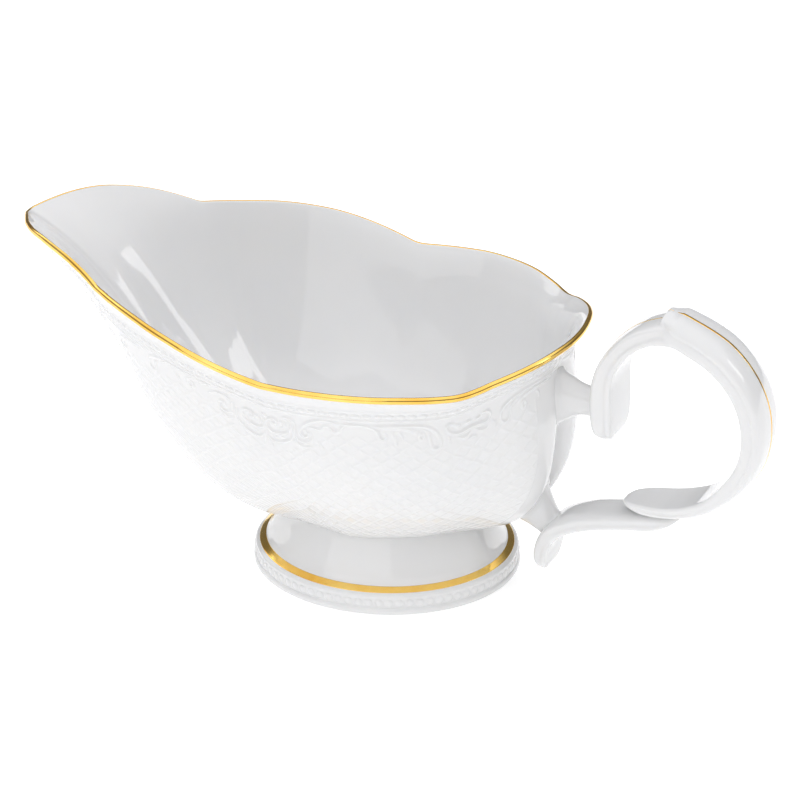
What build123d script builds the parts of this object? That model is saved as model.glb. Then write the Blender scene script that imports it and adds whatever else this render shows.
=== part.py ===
from build123d import *
import os
import math
import numpy as np

# ---------------------------------------------------------------------------
# Footed porcelain sauce boat / cream jug.
# Frame: +X from the foot towards the handle, -X towards the spout, +Y to the
# side, +Z up. Origin: centre of the foot on the plane the jug stands on.
# All lengths in millimetres.
# ---------------------------------------------------------------------------
os.makedirs("parts", exist_ok=True)

# ---- driving dimensions ----------------------------------------------------
WALL = 3.0                # cast body wall, belly
WALL_LIP = 1.8            # wall just under the rim
BOWL_SEAT_Z = 13.0        # underside of the bowl collar
BOWL_START_Z = 14.56      # where the belly leaves the collar
COLLAR_A, COLLAR_B = 21.84, 16.8      # collar half axes (X, Y)
FLOOR_Z = 17.2            # inside floor of the bowl
GILD_T = 0.35             # modelled depth of the gold lines
FOOT_TOP_Z = 12.55        # top of the foot casting
FOOT_A, FOOT_B = 37.52, 35.6          # base half axes (X, Y)
LUTE_PAD = 0.8            # thickness of the slip joint at the handle roots
LINE_GOLD_W = 0.7         # width of the gold line on the handle crest

# rim crest, from the tip of the spout to the middle of the rear: x, half width, z
RIM = [
    (-110.45, 0.00, 85.74), (-109.89, 2.59, 86.05), (-107.52, 7.08, 86.84),
    (-105.65, 10.43, 87.28), (-103.84, 12.94, 87.65), (-100.63, 16.56, 88.07),
    (-97.69, 19.05, 88.26), (-91.74, 23.03, 87.87), (-85.37, 26.55, 86.86),
    (-79.75, 29.42, 85.30), (-75.44, 31.67, 83.70), (-72.83, 33.29, 82.75),
    (-69.49, 35.73, 82.58), (-61.83, 40.99, 82.02), (-55.39, 44.93, 81.46),
    (-49.31, 48.15, 80.62), (-43.46, 50.56, 79.61), (-37.84, 52.43, 78.44),
    (-32.35, 53.57, 77.12), (-27.03, 54.11, 75.75), (-21.74, 54.11, 74.35),
    (-16.85, 53.68, 73.06), (-13.30, 53.33, 72.28), (-9.32, 53.55, 72.28),
    (-4.45, 54.00, 72.47), (2.12, 54.11, 72.72), (8.52, 53.71, 72.89),
    (14.67, 52.37, 72.86), (20.69, 50.30, 72.75), (26.53, 47.37, 72.50),
    (31.96, 43.65, 72.00), (35.83, 40.44, 71.66), (39.10, 37.19, 71.72),
    (42.45, 33.69, 72.61), (45.04, 30.95, 73.59), (47.61, 28.02, 74.40),
    (50.33, 24.31, 75.24), (53.18, 19.05, 76.14), (54.84, 14.36, 76.59),
    (55.97, 9.16, 76.78), (56.60, 4.01, 76.78), (56.73, 0.00, 76.76)]
# belly profile: control values at plan angles from the rear (0) to the spout (180)
ANGLES = [0, 30, 60, 90, 120, 150, 165, 180]
PROF_A = [0.893, 0.778, 0.587, 0.440, 0.363, 0.522, 0.521, 0.468]
PROF_B = [0.065, 0.20, 0.125, 0.035, 0.055, 0.005, 0.035, 0.08]
PROF_C = [-0.008, 0.007, 0.041, 0.110, 0.205, 0.218, 0.312, 0.399]
PROF_D = [0.77, 0.46, 0.38, 0.46, 0.575, 0.645, 0.42, 0.255]
LIP_FLARE = [4.8, 5.2, 2.9, 1.9, 1.6, 0.6, 1.3, 1.1]   # mm, neck under the lip
LIP_DEPTH = 8.96          # mm below the rim where the neck is deepest
REAR_VALLEY, REAR_VALLEY_W = 0.150, 6.6     # fold between the two rear lobes
FRONT_VALLEY, FRONT_VALLEY_W = 0.012, 18.0  # shallow folds either side of the spout lobe


# ---- small numeric helpers -------------------------------------------------
def pchip(x, y, q):
    """Monotone cubic interpolation."""
    x, y, q = (np.asarray(v, float) for v in (x, y, q))
    h = np.diff(x)
    d = np.diff(y) / h
    m = np.zeros_like(y)
    m[0], m[-1] = d[0], d[-1]
    w1, w2 = 2 * h[1:] + h[:-1], h[1:] + 2 * h[:-1]
    ok = d[:-1] * d[1:] > 0
    den = np.where(ok, w1 / np.where(ok, d[:-1], 1) + w2 / np.where(ok, d[1:], 1), 1)
    m[1:-1] = np.where(ok, (w1 + w2) / den, 0)
    i = np.clip(np.searchsorted(x, q, side="right") - 1, 0, len(x) - 2)
    t = (q - x[i]) / h[i]
    return ((1 + 2 * t) * (1 - t) ** 2 * y[i] + t * (1 - t) ** 2 * h[i] * m[i]
            + t * t * (3 - 2 * t) * y[i + 1] + t * t * (t - 1) * h[i] * m[i + 1])


def akima(x, y, q):
    """Akima interpolation: smooth, with no overshoot at the scallop notches."""
    x, y, q = (np.asarray(v, float) for v in (x, y, q))
    d = np.diff(y) / np.diff(x)
    d = np.r_[3 * d[0] - 2 * d[1], 2 * d[0] - d[1], d, 2 * d[-1] - d[-2], 3 * d[-1] - 2 * d[-2]]
    w1, w2 = np.abs(d[3:] - d[2:-1]), np.abs(d[1:-2] - d[:-3])
    s = w1 + w2
    m = np.where(s > 1e-9, (w1 * d[1:-2] + w2 * d[2:-1]) / np.where(s > 1e-9, s, 1),
                 0.5 * (d[1:-2] + d[2:-1]))
    i = np.clip(np.searchsorted(x, q, side="right") - 1, 0, len(x) - 2)
    h = x[i + 1] - x[i]
    t = (q - x[i]) / h
    return ((1 + 2 * t) * (1 - t) ** 2 * y[i] + t * (1 - t) ** 2 * h * m[i]
            + t * t * (3 - 2 * t) * y[i + 1] + t * t * (t - 1) * h * m[i + 1])


_rim = np.array(RIM)[::-1]
_rim_deg = np.degrees(np.arctan2(_rim[:, 1], _rim[:, 0]))
_rim_r = np.hypot(_rim[:, 0], _rim[:, 1])


def mirrored(x, y, n=3):
    return (np.r_[-x[1:n + 1][::-1], x, 360 - x[:-1][-n:][::-1]],
            np.r_[y[1:n + 1][::-1], y, y[:-1][-n:][::-1]])


def rim_at(deg):
    a = np.abs((np.asarray(deg, float) + 180) % 360 - 180)
    return (akima(*mirrored(_rim_deg, _rim_r), a), akima(*mirrored(_rim_deg, _rim[:, 2]), a))


def by_angle(vals, a):
    return pchip(*mirrored(np.array(ANGLES, float), np.array(vals, float), 2), a)


def belly_rz(deg, t):
    """Outer wall in the half plane at plan angle deg: radius and height, t from collar to rim."""
    a = abs((deg + 180) % 360 - 180)
    R, Z = (float(v) for v in rim_at(deg))
    A, B, C, D, F = (float(by_angle(v, a)) for v in (PROF_A, PROF_B, PROF_C, PROF_D, LIP_FLARE))
    c, s = math.cos(math.radians(deg)), math.sin(math.radians(deg))
    e = 1 / math.hypot(c / COLLAR_A, s / COLLAR_B)
    dr, dz = R - e, Z - BOWL_START_Z
    r1, z1 = e + A * dr, BOWL_START_Z + B * dz
    r2, z2 = R - C * dr, Z - D * dz
    b = ((1 - t) ** 3, 3 * t * (1 - t) ** 2, 3 * t * t * (1 - t), t ** 3)
    r = b[0] * e + b[1] * r1 + b[2] * r2 + b[3] * R
    z = b[0] * BOWL_START_Z + b[1] * z1 + b[2] * z2 + b[3] * Z
    hr = np.interp(t, [0, .12, .3, .5, .7, .85, 1], [0.0, .70, 1, 1, .72, .3, 0])
    f = 1 - REAR_VALLEY * math.exp(-(math.hypot(a / REAR_VALLEY_W, 0.3) - 0.3) * 1.6) * hr
    x = abs(a - (143.5 + 12.5 * t)) / FRONT_VALLEY_W
    f = f - FRONT_VALLEY * np.exp(-(np.hypot(x, 0.15) - 0.15)) * (
        (1 - t) ** 2 * np.minimum(t * 8, 1) + 0.35 * np.sin(math.pi * t ** 0.8))
    h = np.clip(Z - z, 0, None) / LIP_DEPTH
    r = r * f - F * h * np.exp(1 - h) * np.clip(t * 2.5, 0, 1)
    return r, z


# plan angles of the sections' points: the rim stations and extra ones round the rear fold
_half = sorted(set([round(float(v), 3) for v in _rim_deg]) | {1.6, 7.0, 12.0})
STATIONS = _half + [360 - v for v in _half[::-1] if 0.01 < v < 179.99]
_rr, _rz = rim_at(STATIONS)
_rx, _ry = _rr * np.cos(np.radians(STATIONS)), _rr * np.sin(np.radians(STATIONS))
_seg = np.sqrt(np.diff(np.r_[_rx, _rx[0]]) ** 2 + np.diff(np.r_[_ry, _ry[0]]) ** 2)
PARAM = list(np.r_[0, np.cumsum(_seg)] / _seg.sum())
T = np.linspace(0, 1, 241)
ROWS = [0.0, 0.07, 0.15, 0.24, 0.34, 0.45, 0.56, 0.67, 0.77, 0.86, 0.93, 1.0]
TOP_Z = 92.0


# the wall is cast between the scallop notches: one surface patch from notch to notch
_breaks = [0.0] + [min(_half, key=lambda v: abs(v - q)) for q in (43.57, 104.22, 155.74)] + [180.0]
_breaks = [min(_half, key=lambda v: abs(v - q)) for q in _breaks]
BREAKS = sorted(set(STATIONS.index(v) for v in _breaks)
                | set(STATIONS.index(360 - v) for v in _breaks if 0.01 < v < 179.99))


def ring(points):
    """Closed section, one smooth edge between each pair of notches."""
    n = len(points)
    P = [np.array(p, float) for p in points]

    def slope(i):
        h0 = PARAM[i] - PARAM[i - 1] if i > 0 else 1 - PARAM[n - 1]
        h1 = PARAM[i + 1] - PARAM[i]
        a, b = P[i] - P[(i - 1) % n], P[(i + 1) % n] - P[i]
        return (a / h0 * h1 + b / h1 * h0) / (h0 + h1)

    edges = []
    for a, b in zip(BREAKS, BREAKS[1:] + [BREAKS[0] + n]):
        idx = list(range(a, b + 1))
        pts = [Vector(*P[i % n]) for i in idx]
        par = [PARAM[i] if i < n else 1 + PARAM[i - n] for i in idx]
        span = par[-1] - par[0]
        par = [(v - par[0]) / span for v in par]
        tan = [Vector(*(slope(a) * span)), Vector(*(slope(b % n) * span))]
        edges.append(Edge.make_spline(pts, tangents=tan, parameters=par, scale=False))
    return Wire(edges)


def cyl(deg, r, z):
    return np.array([r * math.cos(math.radians(deg)), r * math.sin(math.radians(deg)), z])


def gild_t(deg):
    """Value of t where the gold line starts, GILD_T below the crest."""
    a = abs((deg + 180) % 360 - 180)
    return 1 - GILD_T / (3 * float(by_angle(PROF_D, a)) * (float(rim_at(deg)[1]) - BOWL_START_Z))


def offset_profile(deg, w):
    """Wall profile moved inwards by the array w."""
    r, z = belly_rz(deg, T)
    tr, tz = np.gradient(r), np.gradient(z)
    n = np.hypot(tr, tz)
    return r - tz / n * w, z + tr / n * w


W_IN = WALL + (WALL_LIP - WALL) * T ** 2
OUT = {d: offset_profile(d, 0 * T) for d in STATIONS}
INN = {d: offset_profile(d, W_IN) for d in STATIONS}


def row_at(prof, s, to_gild=True, start_z=None):
    """Points of one section; s runs from 0 at the collar to 1 at the gold line (or the crest)."""
    row = []
    for deg in STATIONS:
        r, z = prof[deg]
        tg = gild_t(deg) if to_gild else 1.0
        t0 = 0.0
        if start_z is not None:
            t0 = float(np.interp(start_z, z[:60], T[:60])) if z[0] < start_z else 0.0
        t = t0 + (tg - t0) * s
        zz = np.interp(t, T, z)
        if start_z is not None:
            zz = start_z if s == 0 else max(zz, start_z + 0.02 * s)
        row.append(cyl(deg, np.interp(t, T, r), zz))
    return row


def flat_disc(points):
    return Face(ring(points))


def sew(*parts):
    faces = []
    for p in parts:
        faces += list(p.faces())
    sh = Shell(faces)
    return Solid(sh)


def offset_body(grow):
    """Closed solid of the outside of the belly, grown by grow, closed flat above the rim."""
    prof = {d: offset_profile(d, 0 * T - grow) for d in STATIONS}
    rows = [row_at(prof, s, False) for s in ROWS]
    z0 = min(p[2] for p in rows[0])
    for p in rows[0]:
        p[2] = z0
    top = [cyl(d, math.hypot(p[0], p[1]) + 6.0, TOP_Z + 4) for d, p in zip(STATIONS, rows[-1])]
    w = [ring(p) for p in rows]
    return sew(Shell.make_loft(w), Shell.make_loft([w[-1], ring(top)], ruled=True), flat_disc(rows[0]), flat_disc(top))


def ellipse_loft(levels):
    """Stack of ellipses: (z, half axis X, half axis Y)."""
    def wire(z, a, b):
        if a >= b:
            return Wire([Edge.make_ellipse(a, b, plane=Plane((0, 0, z)))])
        return Wire([Edge.make_ellipse(b, a, plane=Plane((0, 0, z), x_dir=(0, 1, 0)))])
    return Solid.make_loft([wire(*v) for v in levels], ruled=True)


def one(shape):
    """The single largest solid of a boolean result."""
    s = shape.solids() if hasattr(shape, "solids") else shape
    s = sorted(s, key=lambda v: -v.volume)
    return s[0]


# ---- bowl ------------------------------------------------------------------
def mesh_volume(s):
    v, f = s.tessellate(0.02, 0.1)
    v, f = np.array([[p.X, p.Y, p.Z] for p in v]), np.array(f)
    return float((v[f[:, 0]] * np.cross(v[f[:, 1]], v[f[:, 2]])).sum() / 6)


def report(name, s):
    print(f"{name}: valid {s.is_valid}, volume {s.volume:.1f}, by mesh {mesh_volume(s):.1f}, faces {len(s.faces())}")


out_rows = [row_at(OUT, s) for s in ROWS]
inn_rows = [row_at(INN, s, start_z=FLOOR_Z) for s in ROWS]
out_w, inn_w = [ring(p) for p in out_rows], [ring(p) for p in inn_rows]
belly = sew(Shell.make_loft(out_w), Shell.make_loft(inn_w), Shell.make_loft([out_w[-1], inn_w[-1]], ruled=True),
            flat_disc(out_rows[0]), flat_disc(inn_rows[0]))
report("belly", belly)

# gold line: a thin cap that rounds the crest of the rim
o1, i1 = row_at(OUT, 1, False), row_at(INN, 1, False)
og, ig = out_rows[-1], inn_rows[-1]
caps = [og]
for f, drop in ((0.10, 0.08), (0.5, 0.0), (0.90, 0.08)):
    caps.append([o * (1 - f) + i * f - np.array([0, 0, drop]) for o, i in zip(o1, i1)])
caps.append(ig)
cap_w = [ring(p) for p in caps]
rim_gilding = sew(Shell.make_loft(cap_w), Shell.make_loft([out_w[-1], inn_w[-1]], ruled=True))
report("rim_gilding", rim_gilding)

# ---- collar of the bowl: hollow ring below the belly -------------------------
FOOT_BORE_A, FOOT_BORE_B = 19.6, 14.4       # opening between bowl and foot
collar = (ellipse_loft([(BOWL_SEAT_Z, COLLAR_A - 0.06, COLLAR_B - 0.06),
                        (BOWL_START_Z, COLLAR_A - 0.06, COLLAR_B - 0.06)])
          - ellipse_loft([(BOWL_SEAT_Z, FOOT_BORE_A, FOOT_BORE_B), (BOWL_START_Z, FOOT_BORE_A, FOOT_BORE_B)]))
bowl = one(belly + one(collar))
report("bowl", bowl)

# ---- pedestal foot: outer and inner profiles as (z, half axis X, half axis Y) --
GILD_LO = (6.27, 35.84, 34.20)       # lower and upper edge of the gold band
GILD_HI = (7.28, 34.02, 32.14)
FOOT_OUT = [(0.0, 36.8, 34.9), (0.35, 37.3, 35.4), (1.0, FOOT_A, FOOT_B), (1.8, 37.45, 35.53), (2.15, 37.1, 35.2),
            (4.35, 37.05, 35.15), (4.7, 37.3, 35.4), (5.3, 37.15, 35.3), (5.85, 36.7, 34.95), GILD_LO, GILD_HI,
            (7.9, 33.45, 31.6), (9.0, 32.75, 30.85), (10.5, 32.05, 30.1), (12.5, 31.2, 29.2), (14.5, 30.35, 28.35),
            (16.2, 29.6, 27.6), (20.0, 28.2, 26.2)]
FOOT_IN = [(0.0, 34.0, 32.1), (3.2, 33.2, 31.2), (6.0, 31.4, 29.4), (8.2, 29.8, 27.8), (9.4, 28.0, 26.0),
           (10.0, 25.0, 22.4), (10.3, 22.0, 18.0), (10.8, 20.0, 15.0), (FOOT_TOP_Z, FOOT_BORE_A, FOOT_BORE_B)]
FOOT_GAP = 0.12                      # hairline seam between the foot's wall and the belly resting in it
SEAT_A, SEAT_B = 22.45, 17.4         # seat sunk into the top of the foot for the bowl's collar
seat = ellipse_loft([(FOOT_TOP_Z, SEAT_A, SEAT_B), (20.5, SEAT_A, SEAT_B)])
foot = one(one(one(ellipse_loft(FOOT_OUT) - ellipse_loft(FOOT_IN)) - seat) - offset_body(FOOT_GAP))
GILD_IN = 0.2                        # modelled depth of the band
band = one(ellipse_loft([GILD_LO, GILD_HI])
           - ellipse_loft([(z, a - GILD_IN, b - GILD_IN) for z, a, b in (GILD_LO, GILD_HI)]))
pedestal_foot = one(foot - band)
foot_gilding = band
foot_luting_ring = one(ellipse_loft([(FOOT_TOP_Z, 22.3, 17.25), (BOWL_SEAT_Z, 22.3, 17.25)])
                       - ellipse_loft([(FOOT_TOP_Z, FOOT_BORE_A, FOOT_BORE_B), (BOWL_SEAT_Z, FOOT_BORE_A, FOOT_BORE_B)]))
report("pedestal_foot", pedestal_foot)
report("foot_gilding", foot_gilding)
report("foot_luting_ring", foot_luting_ring)

# ---- handle: ribbon casting in the plane Y = 0 --------------------------------
# stations of each ribbon: x, z, thickness in the plane, width across (Y)
STRAP = [
    (81.76, 89.74, 0.84, 3.92), (82.04, 88.90, 2.80, 7.84), (82.74, 87.78, 4.76, 11.76),
    (84.00, 86.66, 6.16, 14.28), (85.82, 85.68, 6.58, 15.40), (90.16, 84.08, 6.30, 15.96),
    (96.10, 81.14, 6.30, 16.24), (100.58, 77.53, 6.16, 16.24), (103.68, 73.86, 6.02, 16.24),
    (106.09, 69.69, 5.96, 16.24), (107.80, 64.71, 5.88, 16.24), (108.47, 59.22, 5.68, 15.96),
    (108.08, 54.18, 5.54, 15.96), (106.46, 49.14, 5.60, 15.68), (103.60, 44.52, 5.60, 15.68),
    (99.90, 40.32, 4.90, 15.68), (95.87, 36.90, 4.20, 15.68), (91.64, 34.66, 4.06, 15.68),
    (87.08, 33.24, 3.78, 15.40), (82.60, 32.40, 3.64, 14.84), (77.84, 32.00, 3.64, 13.44),
    (74.20, 31.86, 3.08, 11.20), (71.82, 31.92, 2.24, 7.84), (70.42, 32.00, 0.84, 3.36),
]
UPPER_SCROLL = [
    (65.80, 49.84, 1.40, 2.80), (65.74, 50.26, 3.36, 6.72), (65.60, 51.24, 5.04, 10.64),
    (65.38, 52.92, 6.16, 13.72), (65.13, 55.72, 6.86, 15.68), (64.96, 60.76, 7.14, 16.24),
    (64.96, 65.52, 6.86, 16.24), (65.52, 69.72, 6.16, 15.96), (66.92, 73.50, 5.60, 15.68),
    (69.24, 77.14, 5.32, 15.12), (72.32, 80.36, 5.18, 14.84), (75.88, 82.74, 5.18, 14.56),
    (79.52, 84.28, 5.18, 14.28), (83.16, 85.26, 4.76, 13.44), (86.80, 84.84, 3.36, 11.20),
]
LOWER_SCROLL = [
    (47.60, 7.42, 1.12, 2.80), (47.68, 7.98, 2.52, 6.72), (47.80, 9.10, 3.64, 10.36),
    (47.88, 11.20, 4.20, 13.16), (48.16, 13.72, 4.34, 14.56), (49.00, 16.80, 4.48, 15.12),
    (50.96, 20.02, 4.48, 15.12), (53.90, 22.40, 4.34, 15.12), (57.68, 24.16, 4.20, 15.12),
    (61.60, 25.48, 4.06, 15.12), (66.08, 26.46, 3.92, 14.84), (70.56, 27.24, 3.86, 14.56),
    (75.04, 27.89, 3.92, 14.00), (79.24, 28.36, 4.06, 12.88), (83.16, 29.26, 3.36, 10.64),
    (86.24, 30.24, 1.68, 6.72), (87.36, 30.94, 0.56, 3.36),
]
# stations of the two roots: x, z, direction of the long axis (x, z), long axis, width
UPPER_ROOT = [
    (47.04, 58.24, 0.000, 1.000, 18.48, 11.20), (49.84, 58.66, 0.000, 1.000, 16.24, 9.80),
    (52.36, 58.94, 0.000, 1.000, 13.72, 8.68), (54.88, 59.22, 0.000, 1.000, 10.92, 7.56),
    (57.68, 59.22, 0.000, 1.000, 8.40, 7.00), (60.48, 58.94, 0.000, 1.000, 7.56, 6.72),
    (63.28, 58.80, 0.000, 1.000, 7.28, 6.72),
]
LOWER_ROOT = [
    (38.08, 29.68, 0.700, 0.714, 20.16, 12.32), (40.32, 27.86, 0.700, 0.714, 17.64, 10.64),
    (42.28, 26.32, 0.700, 0.714, 15.12, 9.24), (44.24, 24.78, 0.700, 0.714, 12.04, 8.12),
    (46.20, 22.96, 0.700, 0.714, 9.52, 7.56), (47.88, 21.28, 0.700, 0.714, 7.84, 7.28),
    (49.56, 19.60, 0.700, 0.714, 6.72, 6.72),
]
RIBBON_POWER = 3.0        # section shape: 2 is an ellipse, higher is squarer
ROOT_POWER = 2.3
N_SEC = 24


def superellipse(n, power):
    th = np.linspace(0, 2 * math.pi, n, endpoint=False)
    c, s = np.cos(th), np.sin(th)
    return np.sign(c) * np.abs(c) ** (2 / power), np.sign(s) * np.abs(s) ** (2 / power)


def closed_section(pts):
    n = len(pts)
    return Wire([Edge.make_spline([Vector(*p) for p in pts], periodic=True,
                                  parameters=[i / n for i in range(n + 1)])])


def ribbon_sections(stations, grow=0.0):
    st = np.array(stations)
    s = np.r_[0, np.cumsum(np.hypot(*np.diff(st[:, :2], axis=0).T))]
    d = np.stack([np.gradient(st[:, 0], s), np.gradient(st[:, 1], s)], -1)
    d /= np.hypot(*d.T)[:, None]
    a, b = superellipse(N_SEC, RIBBON_POWER)
    out = []
    for (x, z, t, w), (dx, dz) in zip(stations, d):
        out.append([(x - dz * u * (t / 2 + grow), v * (w / 2 + grow), z + dx * u * (t / 2 + grow)) for u, v in zip(a, b)])
    return out


def ribbon(stations):
    return Solid.make_loft([closed_section(p) for p in ribbon_sections(stations)], ruled=False)


def root(stations):
    a, b = superellipse(N_SEC, ROOT_POWER)
    secs = []
    for x, z, dx, dz, long_, w in stations:
        n = math.hypot(dx, dz)
        secs.append(closed_section([(x + dx / n * u * long_ / 2, v * w / 2, z + dz / n * u * long_ / 2)
                                    for u, v in zip(a, b)]))
    return Solid.make_loft(secs, ruled=False)


strap, upper, lower = ribbon(STRAP), ribbon(UPPER_SCROLL), ribbon(LOWER_SCROLL)
up_root, lo_root = root(UPPER_ROOT), root(LOWER_ROOT)
for n, s in (("strap", strap), ("upper", upper), ("lower", lower), ("up_root", up_root), ("lo_root", lo_root)):
    report(n, s)
handle = one(strap + upper)
report("strap+upper", handle)
handle = one(handle + lower)
report("+lower", handle)
handle = one(handle + up_root)
report("+up_root", handle)
handle = one(handle + lo_root)
report("+lo_root", handle)
grown = offset_body(LUTE_PAD)
# the outside of the belly itself, closed above the rim
lid = [cyl(d, math.hypot(p[0], p[1]) + 6.0, TOP_Z + 4) for d, p in zip(STATIONS, out_rows[-1])]
lid_w = ring(lid)
skin = sew(Shell.make_loft(out_w), Shell.make_loft([out_w[-1], lid_w], ruled=True),
           flat_disc(out_rows[0]), flat_disc(lid))
report("grown", grown)
report("skin", skin)
raw = handle


def crest_line(stations, first, last):
    """Gold line let into the crest of a ribbon, LINE_GOLD_W wide."""
    st = np.array(stations)
    s = np.r_[0, np.cumsum(np.hypot(*np.diff(st[:, :2], axis=0).T))]
    d = np.stack([np.gradient(st[:, 0], s), np.gradient(st[:, 1], s)], -1)
    d /= np.hypot(*d.T)[:, None]
    secs = []
    for i in range(first, last + 1):
        x, z, t, _ = stations[i]
        dx, dz = d[i]
        pts = []
        for h, y in ((-0.28, -1), (-0.28, 1), (0.05, 1), (0.05, -1)):
            r = t / 2 + h
            pts.append(Vector(x - dz * r, y * LINE_GOLD_W / 2, z + dx * r))
        secs.append(Wire.make_polygon(pts, close=True))
    return Solid.make_loft(secs, ruled=False)


handle = one(raw - grown)
report("handle", handle)
line_a = crest_line(STRAP, 3, len(STRAP) - 7)
line_b = crest_line(UPPER_SCROLL, 6, 12)
line_b = one(line_b - strap)
handle = one(handle - line_a)
handle = one(handle - line_b)
report("line_a", line_a)
report("line_b", line_b)
report("handle grooved", handle)
pads = []
for n, r in (("up", up_root), ("lo", lo_root)):
    p = one(one(r & grown) - skin)
    report("pad " + n, p)
    pads.append(p)

for name, solids in (("bowl", [bowl]), ("rim_gilding", [rim_gilding]), ("pedestal_foot", [pedestal_foot]),
                     ("foot_gilding", [foot_gilding]), ("foot_luting_ring", [foot_luting_ring]),
                     ("handle", [handle]), ("upper_handle_luting", [pads[0]]), ("lower_handle_luting", [pads[1]]),
                     ("handle_gilding", [line_a, line_b])):
    shape = solids[0] if len(solids) == 1 else Compound(solids)
    export_step(shape, f"parts/{name}.step")
bb = Compound([bowl, rim_gilding, pedestal_foot, handle, line_a]).bounding_box()
print("box", [round(v, 2) for v in (*bb.min, *bb.max)])
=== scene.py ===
import math

import bpy
import numpy as np
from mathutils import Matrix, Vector
from mathutils.bvhtree import BVHTree


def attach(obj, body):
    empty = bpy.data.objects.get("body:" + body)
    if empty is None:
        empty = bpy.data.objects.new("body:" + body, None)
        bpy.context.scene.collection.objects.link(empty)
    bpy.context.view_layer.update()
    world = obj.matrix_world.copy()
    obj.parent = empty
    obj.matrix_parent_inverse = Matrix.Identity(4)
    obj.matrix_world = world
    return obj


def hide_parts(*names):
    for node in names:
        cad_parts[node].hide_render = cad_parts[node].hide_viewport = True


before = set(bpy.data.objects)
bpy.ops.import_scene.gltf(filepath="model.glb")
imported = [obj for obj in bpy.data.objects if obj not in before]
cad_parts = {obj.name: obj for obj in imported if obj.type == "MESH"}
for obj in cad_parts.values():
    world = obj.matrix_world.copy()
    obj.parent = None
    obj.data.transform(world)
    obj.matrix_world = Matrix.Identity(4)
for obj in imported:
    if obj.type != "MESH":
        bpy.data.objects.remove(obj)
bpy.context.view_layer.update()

MM = 0.001

# Plan outline of the rim: x, half width, z in millimetres, from the spout's tip to the middle of the rear
RIM = np.array([
    (-110.45, 0.00, 85.74), (-109.89, 2.59, 86.05), (-107.52, 7.08, 86.84),
    (-105.65, 10.43, 87.28), (-103.84, 12.94, 87.65), (-100.63, 16.56, 88.07),
    (-97.69, 19.05, 88.26), (-91.74, 23.03, 87.87), (-85.37, 26.55, 86.86),
    (-79.75, 29.42, 85.30), (-75.44, 31.67, 83.70), (-72.83, 33.29, 82.75),
    (-69.49, 35.73, 82.58), (-61.83, 40.99, 82.02), (-55.39, 44.93, 81.46),
    (-49.31, 48.15, 80.62), (-43.46, 50.56, 79.61), (-37.84, 52.43, 78.44),
    (-32.35, 53.57, 77.12), (-27.03, 54.11, 75.75), (-21.74, 54.11, 74.35),
    (-16.85, 53.68, 73.06), (-13.30, 53.33, 72.28), (-9.32, 53.55, 72.28),
    (-4.45, 54.00, 72.47), (2.12, 54.11, 72.72), (8.52, 53.71, 72.89),
    (14.67, 52.37, 72.86), (20.69, 50.30, 72.75), (26.53, 47.37, 72.50),
    (31.96, 43.65, 72.00), (35.83, 40.44, 71.66), (39.10, 37.19, 71.72),
    (42.45, 33.69, 72.61), (45.04, 30.95, 73.59), (47.61, 28.02, 74.40),
    (50.33, 24.31, 75.24), (53.18, 19.05, 76.14), (54.84, 14.36, 76.59),
    (55.97, 9.16, 76.78), (56.60, 4.01, 76.78), (56.73, 0.00, 76.76)])[::-1]
WALL, WALL_LIP = 3.0, 1.8
BOWL_START_Z, BOWL_SEAT_Z, FLOOR_Z = 14.56, 13.0, 17.2
COLLAR_A, COLLAR_B = 21.84, 16.8
BORE_A, BORE_B = 19.6, 14.4
ANGLES = np.array([0, 30, 60, 90, 120, 150, 165, 180], float)
PROF_A = [0.893, 0.778, 0.587, 0.440, 0.363, 0.522, 0.521, 0.468]
PROF_B = [0.065, 0.20, 0.125, 0.035, 0.055, 0.005, 0.035, 0.08]
PROF_C = [-0.008, 0.007, 0.041, 0.110, 0.205, 0.218, 0.312, 0.399]
PROF_D = [0.77, 0.46, 0.38, 0.46, 0.575, 0.645, 0.42, 0.255]
LIP_FLARE = [4.8, 5.2, 2.9, 1.9, 1.6, 0.6, 1.3, 1.1]
LIP_DEPTH = 8.96
REAR_VALLEY, REAR_VALLEY_W = 0.150, 6.6
FRONT_VALLEY, FRONT_VALLEY_W = 0.012, 18.0


def hermite(x, y, m, q):
    i = np.clip(np.searchsorted(x, q, side="right") - 1, 0, len(x) - 2)
    h = x[i + 1] - x[i]
    t = (q - x[i]) / h
    return ((1 + 2 * t) * (1 - t) ** 2 * y[i] + t * (1 - t) ** 2 * h * m[i]
            + t * t * (3 - 2 * t) * y[i + 1] + t * t * (t - 1) * h * m[i + 1])


def pchip(x, y, q):
    h = np.diff(x)
    d = np.diff(y) / h
    m = np.zeros_like(y)
    m[0], m[-1] = d[0], d[-1]
    w1, w2 = 2 * h[1:] + h[:-1], h[1:] + 2 * h[:-1]
    ok = d[:-1] * d[1:] > 0
    den = np.where(ok, w1 / np.where(ok, d[:-1], 1) + w2 / np.where(ok, d[1:], 1), 1)
    m[1:-1] = np.where(ok, (w1 + w2) / den, 0)
    return hermite(x, y, m, q)


def akima(x, y, q):
    d = np.diff(y) / np.diff(x)
    d = np.r_[3 * d[0] - 2 * d[1], 2 * d[0] - d[1], d, 2 * d[-1] - d[-2], 3 * d[-1] - 2 * d[-2]]
    w1, w2 = np.abs(d[3:] - d[2:-1]), np.abs(d[1:-2] - d[:-3])
    s = w1 + w2
    m = np.where(s > 1e-9, (w1 * d[1:-2] + w2 * d[2:-1]) / np.where(s > 1e-9, s, 1), 0.5 * (d[1:-2] + d[2:-1]))
    return hermite(x, y, m, q)


def mirrored(x, y, n=3):
    return (np.r_[-x[1:n + 1][::-1], x, 360 - x[:-1][-n:][::-1]],
            np.r_[y[1:n + 1][::-1], y, y[:-1][-n:][::-1]])


RIM_DEG = np.degrees(np.arctan2(RIM[:, 1], RIM[:, 0]))
RIM_R = np.hypot(RIM[:, 0], RIM[:, 1])


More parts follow.
